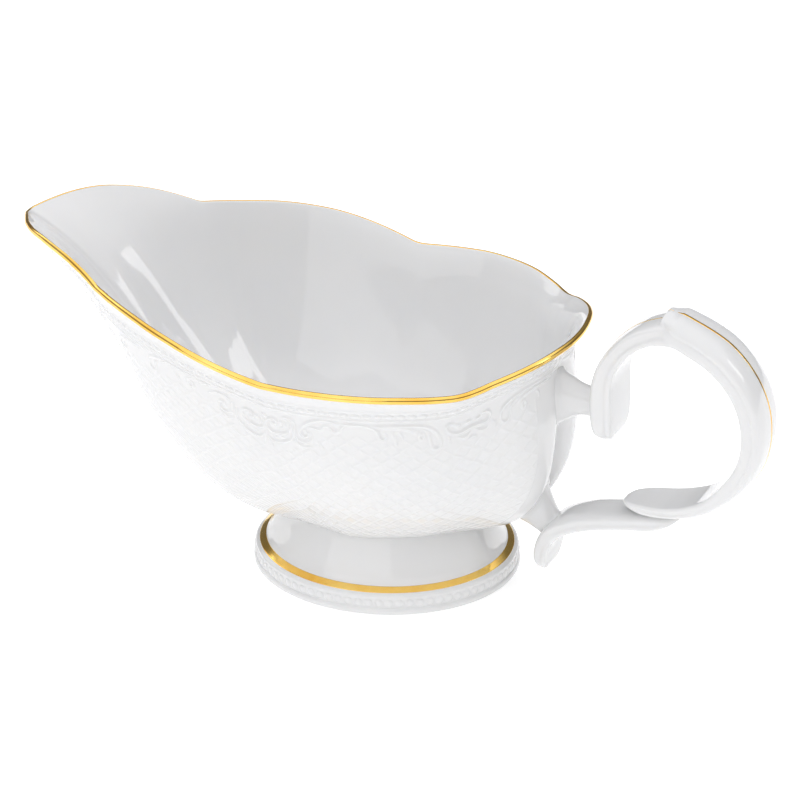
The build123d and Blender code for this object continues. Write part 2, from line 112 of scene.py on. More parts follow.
def fold(deg):
    return np.abs((np.asarray(deg, float) + 180) % 360 - 180)


def rim_at(deg):
    a = fold(deg)
    return akima(*mirrored(RIM_DEG, RIM_R), a), akima(*mirrored(RIM_DEG, RIM[:, 2]), a)


def by_angle(vals, a):
    return pchip(*mirrored(ANGLES, np.array(vals, float), 2), a)


def belly(deg, t):
    """Outer wall: radius and height, for arrays of plan angle and of t from the collar (0) to the rim (1)."""
    deg, t = np.broadcast_arrays(np.asarray(deg, float), np.asarray(t, float))
    a = fold(deg)
    R, Z = rim_at(deg)
    A, B, C, D, F = (by_angle(v, a) for v in (PROF_A, PROF_B, PROF_C, PROF_D, LIP_FLARE))
    c, s = np.cos(np.radians(deg)), np.sin(np.radians(deg))
    e = 1 / np.hypot(c / COLLAR_A, s / COLLAR_B)
    dr, dz = R - e, Z - BOWL_START_Z
    r1, z1 = e + A * dr, BOWL_START_Z + B * dz
    r2, z2 = R - C * dr, Z - D * dz
    b = ((1 - t) ** 3, 3 * t * (1 - t) ** 2, 3 * t * t * (1 - t), t ** 3)
    r = b[0] * e + b[1] * r1 + b[2] * r2 + b[3] * R
    z = b[0] * BOWL_START_Z + b[1] * z1 + b[2] * z2 + b[3] * Z
    hr = np.interp(t, [0, .12, .3, .5, .7, .85, 1], [0.0, .70, 1, 1, .72, .3, 0])
    f = 1 - REAR_VALLEY * np.exp(-(np.hypot(a / REAR_VALLEY_W, 0.3) - 0.3) * 1.6) * hr
    x = np.abs(a - (143.5 + 12.5 * t)) / FRONT_VALLEY_W
    f = f - FRONT_VALLEY * np.exp(-(np.hypot(x, 0.15) - 0.15)) * (
        (1 - t) ** 2 * np.minimum(t * 8, 1) + 0.35 * np.sin(math.pi * t ** 0.8))
    h = np.clip(Z - z, 0, None) / LIP_DEPTH
    r = r * f - F * h * np.exp(1 - h) * np.clip(t * 2.5, 0, 1)
    return r, z


def rim_columns(n):
    """n plan angles, evenly spaced along a line between the rim and the middle of the wall, with rim arc length (mm from the rear, each side)."""
    q = np.linspace(0, 180, 7201)
    R, Z = rim_at(q)
    P = np.c_[R * np.cos(np.radians(q)), R * np.sin(np.radians(q)), Z]
    s_rim = np.r_[0, np.cumsum(np.linalg.norm(np.diff(P, axis=0), axis=1))]
    r, z = belly(q, 0.55)
    P = np.c_[r * np.cos(np.radians(q)), r * np.sin(np.radians(q)), z]
    s_mid = np.r_[0, np.cumsum(np.linalg.norm(np.diff(P, axis=0), axis=1))]
    w = 0.5 * s_rim / s_rim[-1] + 0.5 * s_mid / s_mid[-1]
    half = np.interp(np.linspace(0, 1, n // 2 + 1), w, q)
    deg = np.r_[half, 360 - half[1:-1][::-1]]
    a = fold(deg)
    return deg, np.interp(a, q, s_rim), np.interp(a, q, s_mid), s_rim[-1], s_mid[-1]
# ---- relief drawn in surface coordinates: s along the rim from the middle of the rear, d down from the rim, both in mm ----
def curve(points, step=0.12):
    """Smooth open curve through the points (centripetal Catmull-Rom), resampled."""
    P = np.array(points, float)
    P = np.vstack([2 * P[0] - P[1], P, 2 * P[-1] - P[-2]])
    out = []
    for i in range(1, len(P) - 2):
        p0, p1, p2, p3 = P[i - 1:i + 3]
        k = [0.0]
        for a, b in ((p0, p1), (p1, p2), (p2, p3)):
            k.append(k[-1] + max(np.linalg.norm(b - a), 1e-6) ** 0.5)
        n = max(int(np.linalg.norm(p2 - p1) / step), 2)
        t = np.linspace(k[1], k[2], n, endpoint=False)[:, None]
        a1 = (k[1] - t) / (k[1] - k[0]) * p0 + (t - k[0]) / (k[1] - k[0]) * p1
        a2 = (k[2] - t) / (k[2] - k[1]) * p1 + (t - k[1]) / (k[2] - k[1]) * p2
        a3 = (k[3] - t) / (k[3] - k[2]) * p2 + (t - k[2]) / (k[3] - k[2]) * p3
        b1 = (k[2] - t) / (k[2] - k[0]) * a1 + (t - k[0]) / (k[2] - k[0]) * a2
        b2 = (k[3] - t) / (k[3] - k[1]) * a2 + (t - k[1]) / (k[3] - k[1]) * a3
        out.append((k[2] - t) / (k[2] - k[1]) * b1 + (t - k[1]) / (k[2] - k[1]) * b2)
    out.append(P[-2][None])
    return np.vstack(out)


# each stroke: points (s, d), height, half width at its start, middle and end
STROKES = [
    # garland along the front of the body, with hanging leaves
    ([(78.5, 9.7), (74, 9.6), (71, 9.7), (69.2, 10.2), (67.8, 11.2), (67.1, 12.5), (66.7, 13.6), (65.9, 14.0), (65.1, 13.5), (65.0, 12.6), (65.5, 12.1)], .34, .34, .42, .34),
    ([(69.0, 9.7), (65, 9.9), (61, 10.2), (58.5, 10.6), (57.0, 11.3), (56.3, 11.7)], .34, .36, .42, .55),
    ([(66.0, 9.5), (60, 9.6), (56.5, 9.7), (53, 10.3), (50.5, 11.9), (49, 13.9), (48.5, 15.9), (48.9, 16.9), (50, 17.3), (51.2, 16.8), (51.8, 15.1), (52.3, 13.1), (53, 11.7), (54, 11.2)], .36, .32, .44, .36),
    ([(54.0, 12.2), (53.8, 13.2), (54.3, 14.0), (55.1, 13.7), (55.3, 12.6), (54.7, 12.0), (54.0, 12.2)], .30, .34, .34, .34),
    ([(62.9, 12.4), (62.4, 13.4), (62.1, 14.6), (61.9, 15.7)], .34, .52, .44, .24),
    ([(61.0, 11.9), (60.3, 12.9), (60.0, 13.9)], .24, .36, .30, .2),
    # cartouche over the side: a long frame with pearls in it
    ([(34.8, 11.3), (33.4, 11.4), (32.5, 12.4), (32.7, 13.6), (33.9, 14.3), (35.6, 14.2), (37.6, 13.9), (39.8, 13.9), (42, 14.1), (44, 13.9), (45.7, 13.2), (46.8, 12.2), (47.1, 11.2), (46.4, 10.5), (45.2, 10.5), (44.3, 11.1)], .40, .36, .50, .36),
    ([(38.9, 15.4), (40.2, 16.0), (41.6, 15.9), (42.8, 15.3)], .28, .22, .44, .22),
    ([(33.4, 16.2), (34.6, 16.4), (36.0, 15.9), (37.0, 15.2)], .28, .22, .44, .22),
    ([(36.8, 17.3), (38.2, 16.9), (39.4, 17.2)], .24, .22, .40, .22),
    ([(46.2, 14.8), (45.8, 15.7), (45.6, 16.6)], .30, .50, .44, .28),
    ([(31.1, 15.2), (30.8, 16.1), (30.6, 16.9)], .30, .50, .44, .28),
    # leaf loop and garland running to the rear
    ([(0, 9.6), (4, 9.7), (9, 9.6), (14, 9.6), (18, 9.8), (22, 10.1), (25.2, 10.9), (27.6, 12.1), (28.9, 13.9), (28.9, 15.7), (27.9, 16.8), (26.6, 16.5), (25.9, 14.9), (25.4, 13.2), (24.6, 12.1), (23.4, 11.6)], .36, .32, .44, .36),
    ([(8, 10.9), (12, 10.8), (16, 10.9), (19, 11.2), (21.4, 11.9), (22.6, 12.8)], .30, .26, .36, .46),
    ([(20.9, 13.0), (20.1, 13.8), (20.2, 14.8), (21.0, 15.1), (21.6, 14.3), (21.3, 13.3), (20.9, 13.0)], .28, .32, .32, .32),
    ([(15.5, 12.2), (14.6, 13.1), (14.4, 14.3)], .26, .40, .34, .2),
    # leafed hook before the main cartouche
    ([(76.5, 9.9), (77.8, 10.9), (78.5, 12.0), (79.5, 12.4), (80.6, 11.7), (81.6, 10.8)], .34, .30, .46, .30),
    ([(78.2, 10.7), (79.3, 9.6), (82, 9.0), (85, 9.3), (87.3, 10.2), (89.2, 11.3), (90.6, 12.7), (90.9, 14.2), (90.0, 15.3), (88.6, 15.2), (88.0, 14.1), (88.6, 13.2), (89.5, 13.3)], .38, .32, .46, .34),
    ([(81.6, 10.8), (83.0, 11.0), (84.0, 12.1), (85.3, 12.3), (86.6, 11.9), (88.0, 12.2)], .30, .30, .40, .26),
    ([(87.4, 14.4), (87.5, 15.9), (88.6, 17.0), (90.3, 17.4), (91.9, 16.8), (92.8, 15.4), (92.9, 13.8), (92.4, 12.2)], .38, .30, .46, .28),
    ([(88.2, 18.6), (90.2, 19.1), (92.2, 18.4), (93.5, 16.9)], .30, .22, .42, .22),
    ([(85.6, 16.6), (84.2, 18.0), (83.2, 19.8)], .22, .34, .26, .16),
    # main cartouche over the notch: two nested scrolls and a double frame
    ([(92.6, 11.6), (93.4, 10.6), (95.0, 10.3), (96.4, 10.7)], .32, .26, .42, .26),
    ([(94.8, 11.6), (94.2, 13.1), (94.8, 14.8), (96.5, 15.8), (98.7, 16.1), (100.8, 16.0), (102.0, 15.0), (102.2, 13.6), (101.6, 12.3), (100.4, 11.5), (99.2, 11.7), (98.8, 12.7), (99.5, 13.5), (100.3, 13.1)], .40, .34, .48, .32),
    ([(98.0, 14.5), (96.8, 14.0), (96.3, 13.0), (96.9, 12.2), (97.7, 12.5)], .34, .36, .42, .42),
    ([(103.1, 12.6), (102.9, 14.2), (103.8, 15.7), (105.6, 16.3), (107.6, 16.2), (109.2, 15.3), (109.7, 13.8), (109.2, 12.4), (107.8, 11.6), (106.4, 11.8), (105.8, 12.8), (106.4, 13.7), (107.3, 13.4)], .40, .34, .48, .32),
    ([(104.6, 14.6), (104.2, 13.4), (104.8, 12.5), (105.4, 12.2)], .34, .36, .40, .36),
    ([(93.3, 15.4), (94.3, 17.2), (96.4, 18.5), (99.0, 19.3), (101.4, 19.4), (102.6, 18.4)], .40, .28, .50, .30),
    ([(104.2, 18.4), (105.4, 19.5), (107.8, 19.7), (110.2, 18.9), (111.7, 17.2), (112.1, 15.2), (111.6, 13.3)], .42, .30, .56, .30),
    ([(102.9, 16.9), (103.4, 18.6), (103.9, 20.3), (104.6, 21.9)], .32, .46, .42, .22),
    ([(101.9, 20.6), (101.4, 21.8)], .24, .34, .3, .2),
    ([(101.9, 10.9), (102.6, 11.6), (103.2, 10.8)], .30, .34, .46, .34),
    # hook towards the spout
    ([(120.6, 12.3), (118.6, 11.0), (116.2, 10.2), (113.9, 10.5), (112.7, 11.8), (112.9, 13.9), (114.2, 15.6), (116.1, 16.1), (117.5, 15.2), (117.6, 13.8), (116.7, 12.9), (115.6, 13.2), (115.7, 14.2)], .36, .24, .46, .32),
    ([(113.6, 17.4), (115.4, 18.0), (117.2, 17.6), (118.6, 16.4)], .28, .22, .38, .22),
    ([(119, 9.4), (123, 9.6), (126, 10.2), (127.8, 11.4), (128.2, 12.8), (127.4, 13.6), (126.3, 13.2), (126.1, 12.2), (126.9, 11.7)], .32, .26, .40, .30),
    ([(124, 9.2), (130, 9.3), (136, 9.5), (140.5, 10.3), (143.4, 11.9), (144.4, 13.8), (143.7, 15.3), (142.3, 15.4), (141.3, 14.0), (140.9, 12.4), (139.8, 11.5)], .32, .26, .42, .30),
    ([(132.6, 11.6), (131.9, 12.7), (131.6, 13.9)], .28, .44, .36, .2),
    ([(141, 9.4), (150, 9.4), (160, 9.3), (170, 9.3), (180, 9.2), (190, 9.1), (202, 9.0), (217, 9.0)], .26, .24, .34, .34),
    ([(148, 11.0), (153, 10.8), (157, 11.4), (159.4, 12.8), (159.8, 14.4), (158.6, 15.3), (157.4, 14.4), (157.6, 13.2)], .26, .24, .38, .28),
    ([(166, 10.9), (171, 10.9), (174.6, 11.8), (176.4, 13.4), (176.0, 14.9), (174.7, 15.0), (174.1, 13.8)], .24, .22, .34, .26),
]
# pearls: s, d, half length along s, half length along d, height
PEARLS = [(36.4, 12.2, 1.0, .52, .34), (39.9, 11.8, 1.15, .58, .38), (43.2, 11.6, 1.0, .52, .34),
          (97.4, 17.4, .62, .45, .26), (100.1, 17.9, .62, .45, .26), (106.6, 18.0, .62, .45, .26), (109.1, 17.2, .62, .45, .26),
          (94.6, 21.2, .8, .4, .2), (110.6, 21.3, .8, .4, .2)]
BEAD_D, BEAD_PITCH = 6.55, 3.2
# lattice: two families of raised lines, each with cycles per mm along s and d, and a phase
LATTICE = [(0.163, 0.246, -0.213), (0.157, -0.214, 0.315)]


def step(x, a, b):
    u = np.clip((x - a) / (b - a), 0, 1)
    return u * u * (3 - 2 * u)


def relief(S, D, L, S_END):
    """Height of the cast relief over the plain wall, on grids of s, d and profile length."""
    H = np.zeros_like(S)
    keep = np.full_like(S, 9.0)                       # distance to the nearest stroke, to hold the lattice off

    def near(s0, s1, d0, d1):
        return np.nonzero((S > s0) & (S < s1) & (D > d0) & (D < d1))

    for pts, height, w0, w1, w2 in STROKES:
        c = curve(pts)
        k = near(c[:, 0].min() - 2.2, c[:, 0].max() + 2.2, c[:, 1].min() - 2.2, c[:, 1].max() + 2.2)
        if not len(k[0]):
            continue
        s, d = S[k], D[k]
        best, arg = np.full(len(s), 1e9), np.zeros(len(s), int)
        for i0 in range(0, len(c), 64):
            q = c[i0:i0 + 64]
            dd = (s[:, None] - q[None, :, 0]) ** 2 + (d[:, None] - q[None, :, 1]) ** 2
            j = dd.argmin(1)
            v = dd[np.arange(len(s)), j]
            m = v < best
            best[m], arg[m] = v[m], j[m] + i0
        u = arg / (len(c) - 1)
        w = np.interp(u, [0, .5, 1], [w0, w1, w2])
        fade = np.minimum(1, 0.55 + 4 * np.minimum(u, 1 - u))
        dist = np.sqrt(best)
        h = height * fade * np.exp(-(dist / w / 1.05) ** 2.6)
        H[k] = np.maximum(H[k], h)
        keep[k] = np.minimum(keep[k], dist)
    for s0, d0, a, b, height in PEARLS:
        k = near(s0 - a - 1, s0 + a + 1, d0 - b - 1, d0 + b + 1)
        q = ((S[k] - s0) / a) ** 2 + ((D[k] - d0) / b) ** 2
        H[k] = np.maximum(H[k], height * np.exp(-q ** 1.3))
        keep[k] = np.minimum(keep[k], np.sqrt(q) * b)
    # the band of beads between two ribs
    end = 1 - step(S, S_END - 7, S_END - 2) * 0.0
    q = np.abs((S / BEAD_PITCH + 0.5) % 1 - 0.5) * BEAD_PITCH
    bead = 0.36 * np.sqrt(np.clip(1 - (q / 1.22) ** 2 - ((D - BEAD_D) / 0.74) ** 2, 0, 1)) ** 0.8
    ribs = 0.17 * np.exp(-((D - 5.1) / .33) ** 2) + 0.24 * np.exp(-((D - 8.05) / .36) ** 2)
    groove = -0.05 * np.exp(-((D - BEAD_D) / 1.15) ** 6)
    H = np.maximum(H, ribs + bead * end + groove * (bead <= 0))
    # lattice, held off the garland, the rear panel and the bare skirt above the foot
    top = np.interp(S, [0, 16, 20, 24, 30, 34, 47, 50, 54, 58, 62, 66, 78, 84, 89, 94, 103, 112, 117, 121, 128, 145, 160, 180, 217],
                    [12, 14.5, 15.5, 17.0, 17.8, 18.0, 17.4, 18.0, 14.6, 12.6, 15.6, 13.6, 13.2, 14.2, 19.4, 20.2, 22.2, 20.8, 18.6, 14.4, 14.2, 16.0, 16.0, 15.5, 15.5])
    mask = step(D, top - 0.5, top + 0.6) * step(S, 15.6, 16.6) * step(L - D, 12.5, 16.0)
    mask *= step(keep, 0.55, 1.0)
    lat = np.zeros_like(S)
    for a, b, p in LATTICE:
        ph = a * S + b * D + p
        q = np.abs(ph - np.round(ph)) / math.hypot(a, b)
        lat = np.maximum(lat, np.exp(-(q / 0.29) ** 2))
    lat *= 0.14 * (1 - 0.55 * step(S, 125, 170) * step(D, 30, 60))
    edge = 0.10 * np.exp(-((S - 16.1) / .35) ** 2) * step(D, 13.5, 15) * step(L - D, 16, 19)
    return H + lat * mask + edge


def bowl_profiles(n_cols, n_fine=420):
    """Outer wall as dense profiles by column: plan angles, rim arc length, radius and height, distance from the rim."""
    deg, s_rim, s_mid, S, M = rim_columns(n_cols)
    t = np.linspace(0, 1, n_fine) ** 1.0
    r, z = belly(deg[None, :], t[:, None])
    seg = np.hypot(np.diff(r, axis=0), np.diff(z, axis=0))
    a = np.r_[np.zeros((1, len(deg))), np.cumsum(seg, 0)]
    return deg, s_rim, S, t, r, z, a


def xyz(deg, r, z):
    c, s = np.cos(np.radians(deg)), np.sin(np.radians(deg))
    return np.stack(np.broadcast_arrays(r * c, r * s, z), -1)


def grid_normals(P):
    """Outward normals of a grid (rows, columns closed round)."""
    du = np.roll(P, -1, 1) - np.roll(P, 1, 1)
    dv = np.gradient(P, axis=0)
    n = np.cross(du, dv)
    n /= np.maximum(np.linalg.norm(n, axis=-1, keepdims=True), 1e-12)
    return n


# ---- mesh building --------------------------------------------------------
def grid_faces(rows, cols, first=0, closed=True):
    i, j = np.meshgrid(np.arange(rows - 1), np.arange(cols if closed else cols - 1), indexing="ij")
    j1 = (j + 1) % cols
    a, b, c, d = i * cols + j, i * cols + j1, (i + 1) * cols + j1, (i + 1) * cols + j
    return np.stack([a, b, c, d], -1).reshape(-1, 4) + first


def make_mesh(name, verts_mm, quads=None, polys=None, uv=None):
    """Mesh object from vertices in mm, quads as an array and other faces as lists."""
    verts = np.asarray(verts_mm, float) * MM
    quads = np.zeros((0, 4), int) if quads is None else np.asarray(quads, int)
    polys = polys or []
    me = bpy.data.meshes.new(name)
    me.vertices.add(len(verts))
    me.vertices.foreach_set("co", verts.astype(np.float32).ravel())
    sizes = np.r_[np.full(len(quads), 4, int), np.array([len(p) for p in polys], int)]
    loops = np.r_[quads.ravel(), np.array([v for p in polys for v in p], int)]
    me.loops.add(len(loops))
    me.loops.foreach_set("vertex_index", loops.astype(np.int32))
    me.polygons.add(len(sizes))
    me.polygons.foreach_set("loop_start", np.r_[0, np.cumsum(sizes)[:-1]].astype(np.int32))
    me.polygons.foreach_set("loop_total", sizes.astype(np.int32))
    me.polygons.foreach_set("use_smooth", np.ones(len(sizes), bool))
    me.update(calc_edges=True)
    me.validate()
    ob = bpy.data.objects.new(name, me)
    bpy.context.scene.collection.objects.link(ob)
    return ob


def dress(ob, mat, *nodes, slot):
    ob.data.materials.clear()
    ob.data.materials.append(mat)
    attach(ob, "root")
    if nodes:
        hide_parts(*nodes)
    return ob


def node_tree(name):
    m = bpy.data.materials.new(name)
    m.use_nodes = True
    nt = m.node_tree
    return m, nt, nt.nodes["Principled BSDF"]


def add(nt, kind, **props):
    n = nt.nodes.new(kind)
    for k, v in props.items():
        if k in n.inputs.keys():
            n.inputs[k].default_value = v
        else:
            setattr(n, k, v)
    return n


def porcelain(name, tone, tint=(1.0, 1.0, 1.0)):
    """White hard-paste body under a clear glaze: faint cloudiness, glaze waviness, fine orange peel and a few pinholes."""
    m, nt, b = node_tree(name)
    link = nt.links.new
    co = add(nt, "ShaderNodeTexCoord")
    cloud = add(nt, "ShaderNodeTexNoise", Scale=38.0, Detail=3.0, Roughness=0.55)
    link(co.outputs["Object"], cloud.inputs["Vector"])
    ramp = add(nt, "ShaderNodeValToRGB")
    ramp.color_ramp.elements[0].position = 0.30
    ramp.color_ramp.elements[1].position = 0.72
    c0 = [tone * v * w for v, w in zip((0.985, 0.988, 0.992), tint)]
    c1 = [tone * v * w for v, w in zip((1.0, 0.999, 0.995), tint)]
    ramp.color_ramp.elements[0].color = (*c0, 1)
    ramp.color_ramp.elements[1].color = (*c1, 1)
    link(cloud.outputs["Fac"], ramp.inputs["Fac"])
    # a few iron specks and pinholes in the glaze
    spot = add(nt, "ShaderNodeTexVoronoi", Scale=260.0, Randomness=1.0)
    link(co.outputs["Object"], spot.inputs["Vector"])
    near = add(nt, "ShaderNodeMapRange", clamp=True)
    near.inputs["From Min"].default_value = 0.035
    near.inputs["From Max"].default_value = 0.075
    near.inputs["To Min"].default_value = 1.0
    near.inputs["To Max"].default_value = 0.0
    link(spot.outputs["Distance"], near.inputs["Value"])
    pick = add(nt, "ShaderNodeSeparateColor")
    link(spot.outputs["Color"], pick.inputs["Color"])
    rare = add(nt, "ShaderNodeMath", operation="GREATER_THAN")
    rare.inputs[1].default_value = 0.975
    link(pick.outputs["Red"], rare.inputs[0])
    speck = add(nt, "ShaderNodeMath", operation="MULTIPLY")
    link(near.outputs["Result"], speck.inputs[0])
    link(rare.outputs[0], speck.inputs[1])
    soft = add(nt, "ShaderNodeMath", operation="MULTIPLY")
    soft.inputs[1].default_value = 0.22
    link(speck.outputs[0], soft.inputs[0])
    mix = add(nt, "ShaderNodeMix", data_type="RGBA")
    mix.inputs["B"].default_value = (tone * 0.72, tone * 0.66, tone * 0.58, 1)
    link(soft.outputs[0], mix.inputs["Factor"])
    link(ramp.outputs["Color"], mix.inputs["A"])
    link(mix.outputs["Result"], b.inputs["Base Color"])
    # glaze: long soft waves, a very fine peel, and the pinholes
    wave = add(nt, "ShaderNodeTexNoise", Scale=95.0, Detail=1.5, Roughness=0.4)
    link(co.outputs["Object"], wave.inputs["Vector"])
    peel = add(nt, "ShaderNodeTexNoise", Scale=900.0, Detail=1.0, Roughness=0.5)
    link(co.outputs["Object"], peel.inputs["Vector"])
    b1 = add(nt, "ShaderNodeBump", Strength=0.10, Distance=0.0006)
    link(wave.outputs["Fac"], b1.inputs["Height"])
    b2 = add(nt, "ShaderNodeBump", Strength=0.05, Distance=0.00005)
    link(peel.outputs["Fac"], b2.inputs["Height"])
    link(b1.outputs["Normal"], b2.inputs["Normal"])
    b3 = add(nt, "ShaderNodeBump", Strength=0.35, Distance=0.00008, invert=True)
    link(speck.outputs[0], b3.inputs["Height"])
    link(b2.outputs["Normal"], b3.inputs["Normal"])
    link(b3.outputs["Normal"], b.inputs["Normal"])
    # roughness: clean glaze, a little duller where it has been handled
    hand = add(nt, "ShaderNodeTexNoise", Scale=22.0, Detail=4.0, Roughness=0.6)
    link(co.outputs["Object"], hand.inputs["Vector"])
    rr = add(nt, "ShaderNodeMapRange", clamp=True)
    rr.inputs["From Min"].default_value = 0.35
    rr.inputs["From Max"].default_value = 0.75
    rr.inputs["To Min"].default_value = 0.035
    rr.inputs["To Max"].default_value = 0.075
    link(hand.outputs["Fac"], rr.inputs["Value"])
    link(rr.outputs["Result"], b.inputs["Roughness"])
    b.inputs["IOR"].default_value = 1.5
    b.inputs["Specular IOR Level"].default_value = 0.5
    b.inputs["Subsurface Weight"].default_value = 0.12
    b.inputs["Subsurface Radius"].default_value = (1.0, 0.9, 0.75)
    b.inputs["Subsurface Scale"].default_value = 0.0018
    b.inputs["Coat Weight"].default_value = 0.25
    b.inputs["Coat Roughness"].default_value = 0.03
    b.inputs["Coat IOR"].default_value = 1.5
    return m


def burnished_gold(name):
    """Fired bright gold, burnished by hand: warm metal with fine rubbing streaks, thin and slightly worn in places."""
    m, nt, b = node_tree(name)
    link = nt.links.new
    co = add(nt, "ShaderNodeTexCoord")
    tone = add(nt, "ShaderNodeTexNoise", Scale=70.0, Detail=3.0, Roughness=0.6)
    link(co.outputs["Object"], tone.inputs["Vector"])
    ramp = add(nt, "ShaderNodeValToRGB")
    ramp.color_ramp.elements[0].position = 0.32
    ramp.color_ramp.elements[0].color = (0.88, 0.49, 0.085, 1)
    ramp.color_ramp.elements[1].position = 0.68
    ramp.color_ramp.elements[1].color = (1.0, 0.70, 0.20, 1)
    link(tone.outputs["Fac"], ramp.inputs["Fac"])
    link(ramp.outputs["Color"], b.inputs["Base Color"])
    b.inputs["Metallic"].default_value = 1.0
    streak = add(nt, "ShaderNodeTexNoise", Scale=1500.0, Detail=2.0, Roughness=0.6)
    link(co.outputs["Object"], streak.inputs["Vector"])
    rr = add(nt, "ShaderNodeMapRange", clamp=True)
    rr.inputs["From Min"].default_value = 0.3
    rr.inputs["From Max"].default_value = 0.7
    rr.inputs["To Min"].default_value = 0.08
    rr.inputs["To Max"].default_value = 0.16
    link(streak.outputs["Fac"], rr.inputs["Value"])
    link(rr.outputs["Result"], b.inputs["Roughness"])
    wave = add(nt, "ShaderNodeTexNoise", Scale=420.0, Detail=2.0, Roughness=0.5)
    link(co.outputs["Object"], wave.inputs["Vector"])
    bump = add(nt, "ShaderNodeBump", Strength=0.25, Distance=0.00006)
    link(wave.outputs["Fac"], bump.inputs["Height"])
    link(bump.outputs["Normal"], b.inputs["Normal"])
    return m


PORCELAIN = porcelain("porcelain_glaze", 0.80)
GOLD = burnished_gold("burnished_gold")

# ---- bowl -------------------------------------------------------------------
N_OUT = 1600
deg, s_rim, S_END, t_f, r_f, z_f, a_f = bowl_profiles(N_OUT)
L_col = a_f[-1]
W_f = WALL + (WALL_LIP - WALL) * t_f ** 2
tr, tz = np.gradient(r_f, axis=0), np.gradient(z_f, axis=0)
tn = np.hypot(tr, tz)
tr, tz = tr / tn, tz / tn
ri_f = r_f - tz * W_f[:, None]
zi_f = z_f + tr * W_f[:, None]
LIP_R = WALL_LIP / 2                     # radius of the rounded crest


def at(dist_from_start, table):
    """Values of a profile table at given distances from the collar, one row per entry."""
    out = np.empty((len(dist_from_start), N_OUT))
    for j in range(N_OUT):
        out[:, j] = np.interp(dist_from_start[:, j], a_f[:, j], table[:, j])
    return out


# rows of the outside, listed downwards from where the crest's rounding starts
d_top = np.r_[np.linspace(LIP_R, 4.4, 9)[:-1], np.arange(4.4, 24.0, 0.25)]
n_low = 172
D_rows = np.vstack([np.repeat(d_top[:, None], N_OUT, 1),
                    24.0 + (L_col[None, :] - 24.0) * (np.linspace(0, 1, n_low)[:, None] ** 1.0)])
from_start = L_col[None, :] - D_rows
R_o, Z_o = at(from_start, r_f), at(from_start, z_f)
NR, NZ = at(from_start, tz), -at(from_start, tr)     # outward normal in the half plane
nn = np.hypot(NR, NZ)
NR, NZ = NR / nn, NZ / nn
P_o = xyz(deg[None, :], R_o, Z_o)
N3 = grid_normals(P_o)
out_dir = xyz(deg[None, :], NR, NZ)
N3 *= np.sign((N3 * out_dir).sum(-1, keepdims=True))
S_grid = np.repeat(s_rim[None, :], len(D_rows), 0)
L_grid = np.repeat(L_col[None, :], len(D_rows), 0)
half = N_OUT // 2 + 1
Hh = relief(S_grid[:, :half], D_rows[:, :half], L_grid[:, :half], S_END)
H = np.empty_like(S_grid)
H[:, :half] = Hh
H[:, half:] = Hh[:, 1:half - 1][:, ::-1]
P_o = P_o + N3 * H[..., None]
P_o = P_o[::-1]                                       # now upwards from the collar

# crest: half round between the outer and the inner wall
top_t = np.array([tr[-1], tz[-1]])                    # direction of the wall at the rim
top_n = np.array([tz[-1], -tr[-1]])
c_r = r_f[-1] - top_n[0] * LIP_R - top_t[0] * LIP_R
c_z = z_f[-1] - top_n[1] * LIP_R - top_t[1] * LIP_R
crest_angles = np.radians(np.linspace(0, 180, 17))
crest = np.stack([xyz(deg, c_r + LIP_R * (math.cos(a) * top_n[0] + math.sin(a) * top_t[0]),
                      c_z + LIP_R * (math.cos(a) * top_n[1] + math.sin(a) * top_t[1])) for a in crest_angles])

# inside wall, every second column
N_IN = N_OUT // 2
t_floor = np.array([np.interp(FLOOR_Z + 0.02, zi_f[:120, j], t_f[:120]) for j in range(0, N_OUT, 2)])
t_top = np.array([np.interp(a_f[-1, j] - LIP_R, a_f[:, j], t_f) for j in range(0, N_OUT, 2)])
v = np.linspace(1, 0, 84)[1:]
t_in = t_floor[None, :] + (t_top - t_floor)[None, :] * v[:, None]
R_i, Z_i = np.empty_like(t_in), np.empty_like(t_in)
for k, j in enumerate(range(0, N_OUT, 2)):
    R_i[:, k] = np.interp(t_in[:, k], t_f, ri_f[:, j])
    Z_i[:, k] = np.interp(t_in[:, k], t_f, zi_f[:, j])
deg_in = deg[::2]
P_i = xyz(deg_in[None, :], R_i, Z_i)
# floor of the bowl: the last ring runs smoothly to the centre
edge = P_i[-1]
floor = [edge * [f, f, 1] + [0, 0, (FLOOR_Z + 0.0 - edge[0, 2]) * (1 - f) - 0.9 * (1 - f * f) * 0.35] for f in (0.93, 0.84, 0.72, 0.58, 0.43, 0.28, 0.14)]
P_i = np.vstack([P_i, np.array(floor)])

# underside: collar ring and the closed bottom of the belly
e_r = 1 / np.hypot(np.cos(np.radians(deg)) / COLLAR_A, np.sin(np.radians(deg)) / COLLAR_B)
b_r = 1 / np.hypot(np.cos(np.radians(deg)) / BORE_A, np.sin(np.radians(deg)) / BORE_B)
under = []
for f, z in ((0.25, 14.56), (0.6, 14.56), (0.97, 14.56), (1.0, 14.5), (1.0, 13.5), (1.0, 13.03)):
    under.append(xyz(deg, b_r * f, z + 0 * b_r))
for inset, z in ((0.35, 13.0), (0.1, 13.08), (0.0, 13.3), (0.0, 13.8), (0.0, 14.3)):
    under.append(xyz(deg, e_r - inset, z + 0 * e_r))
under = np.array(under)

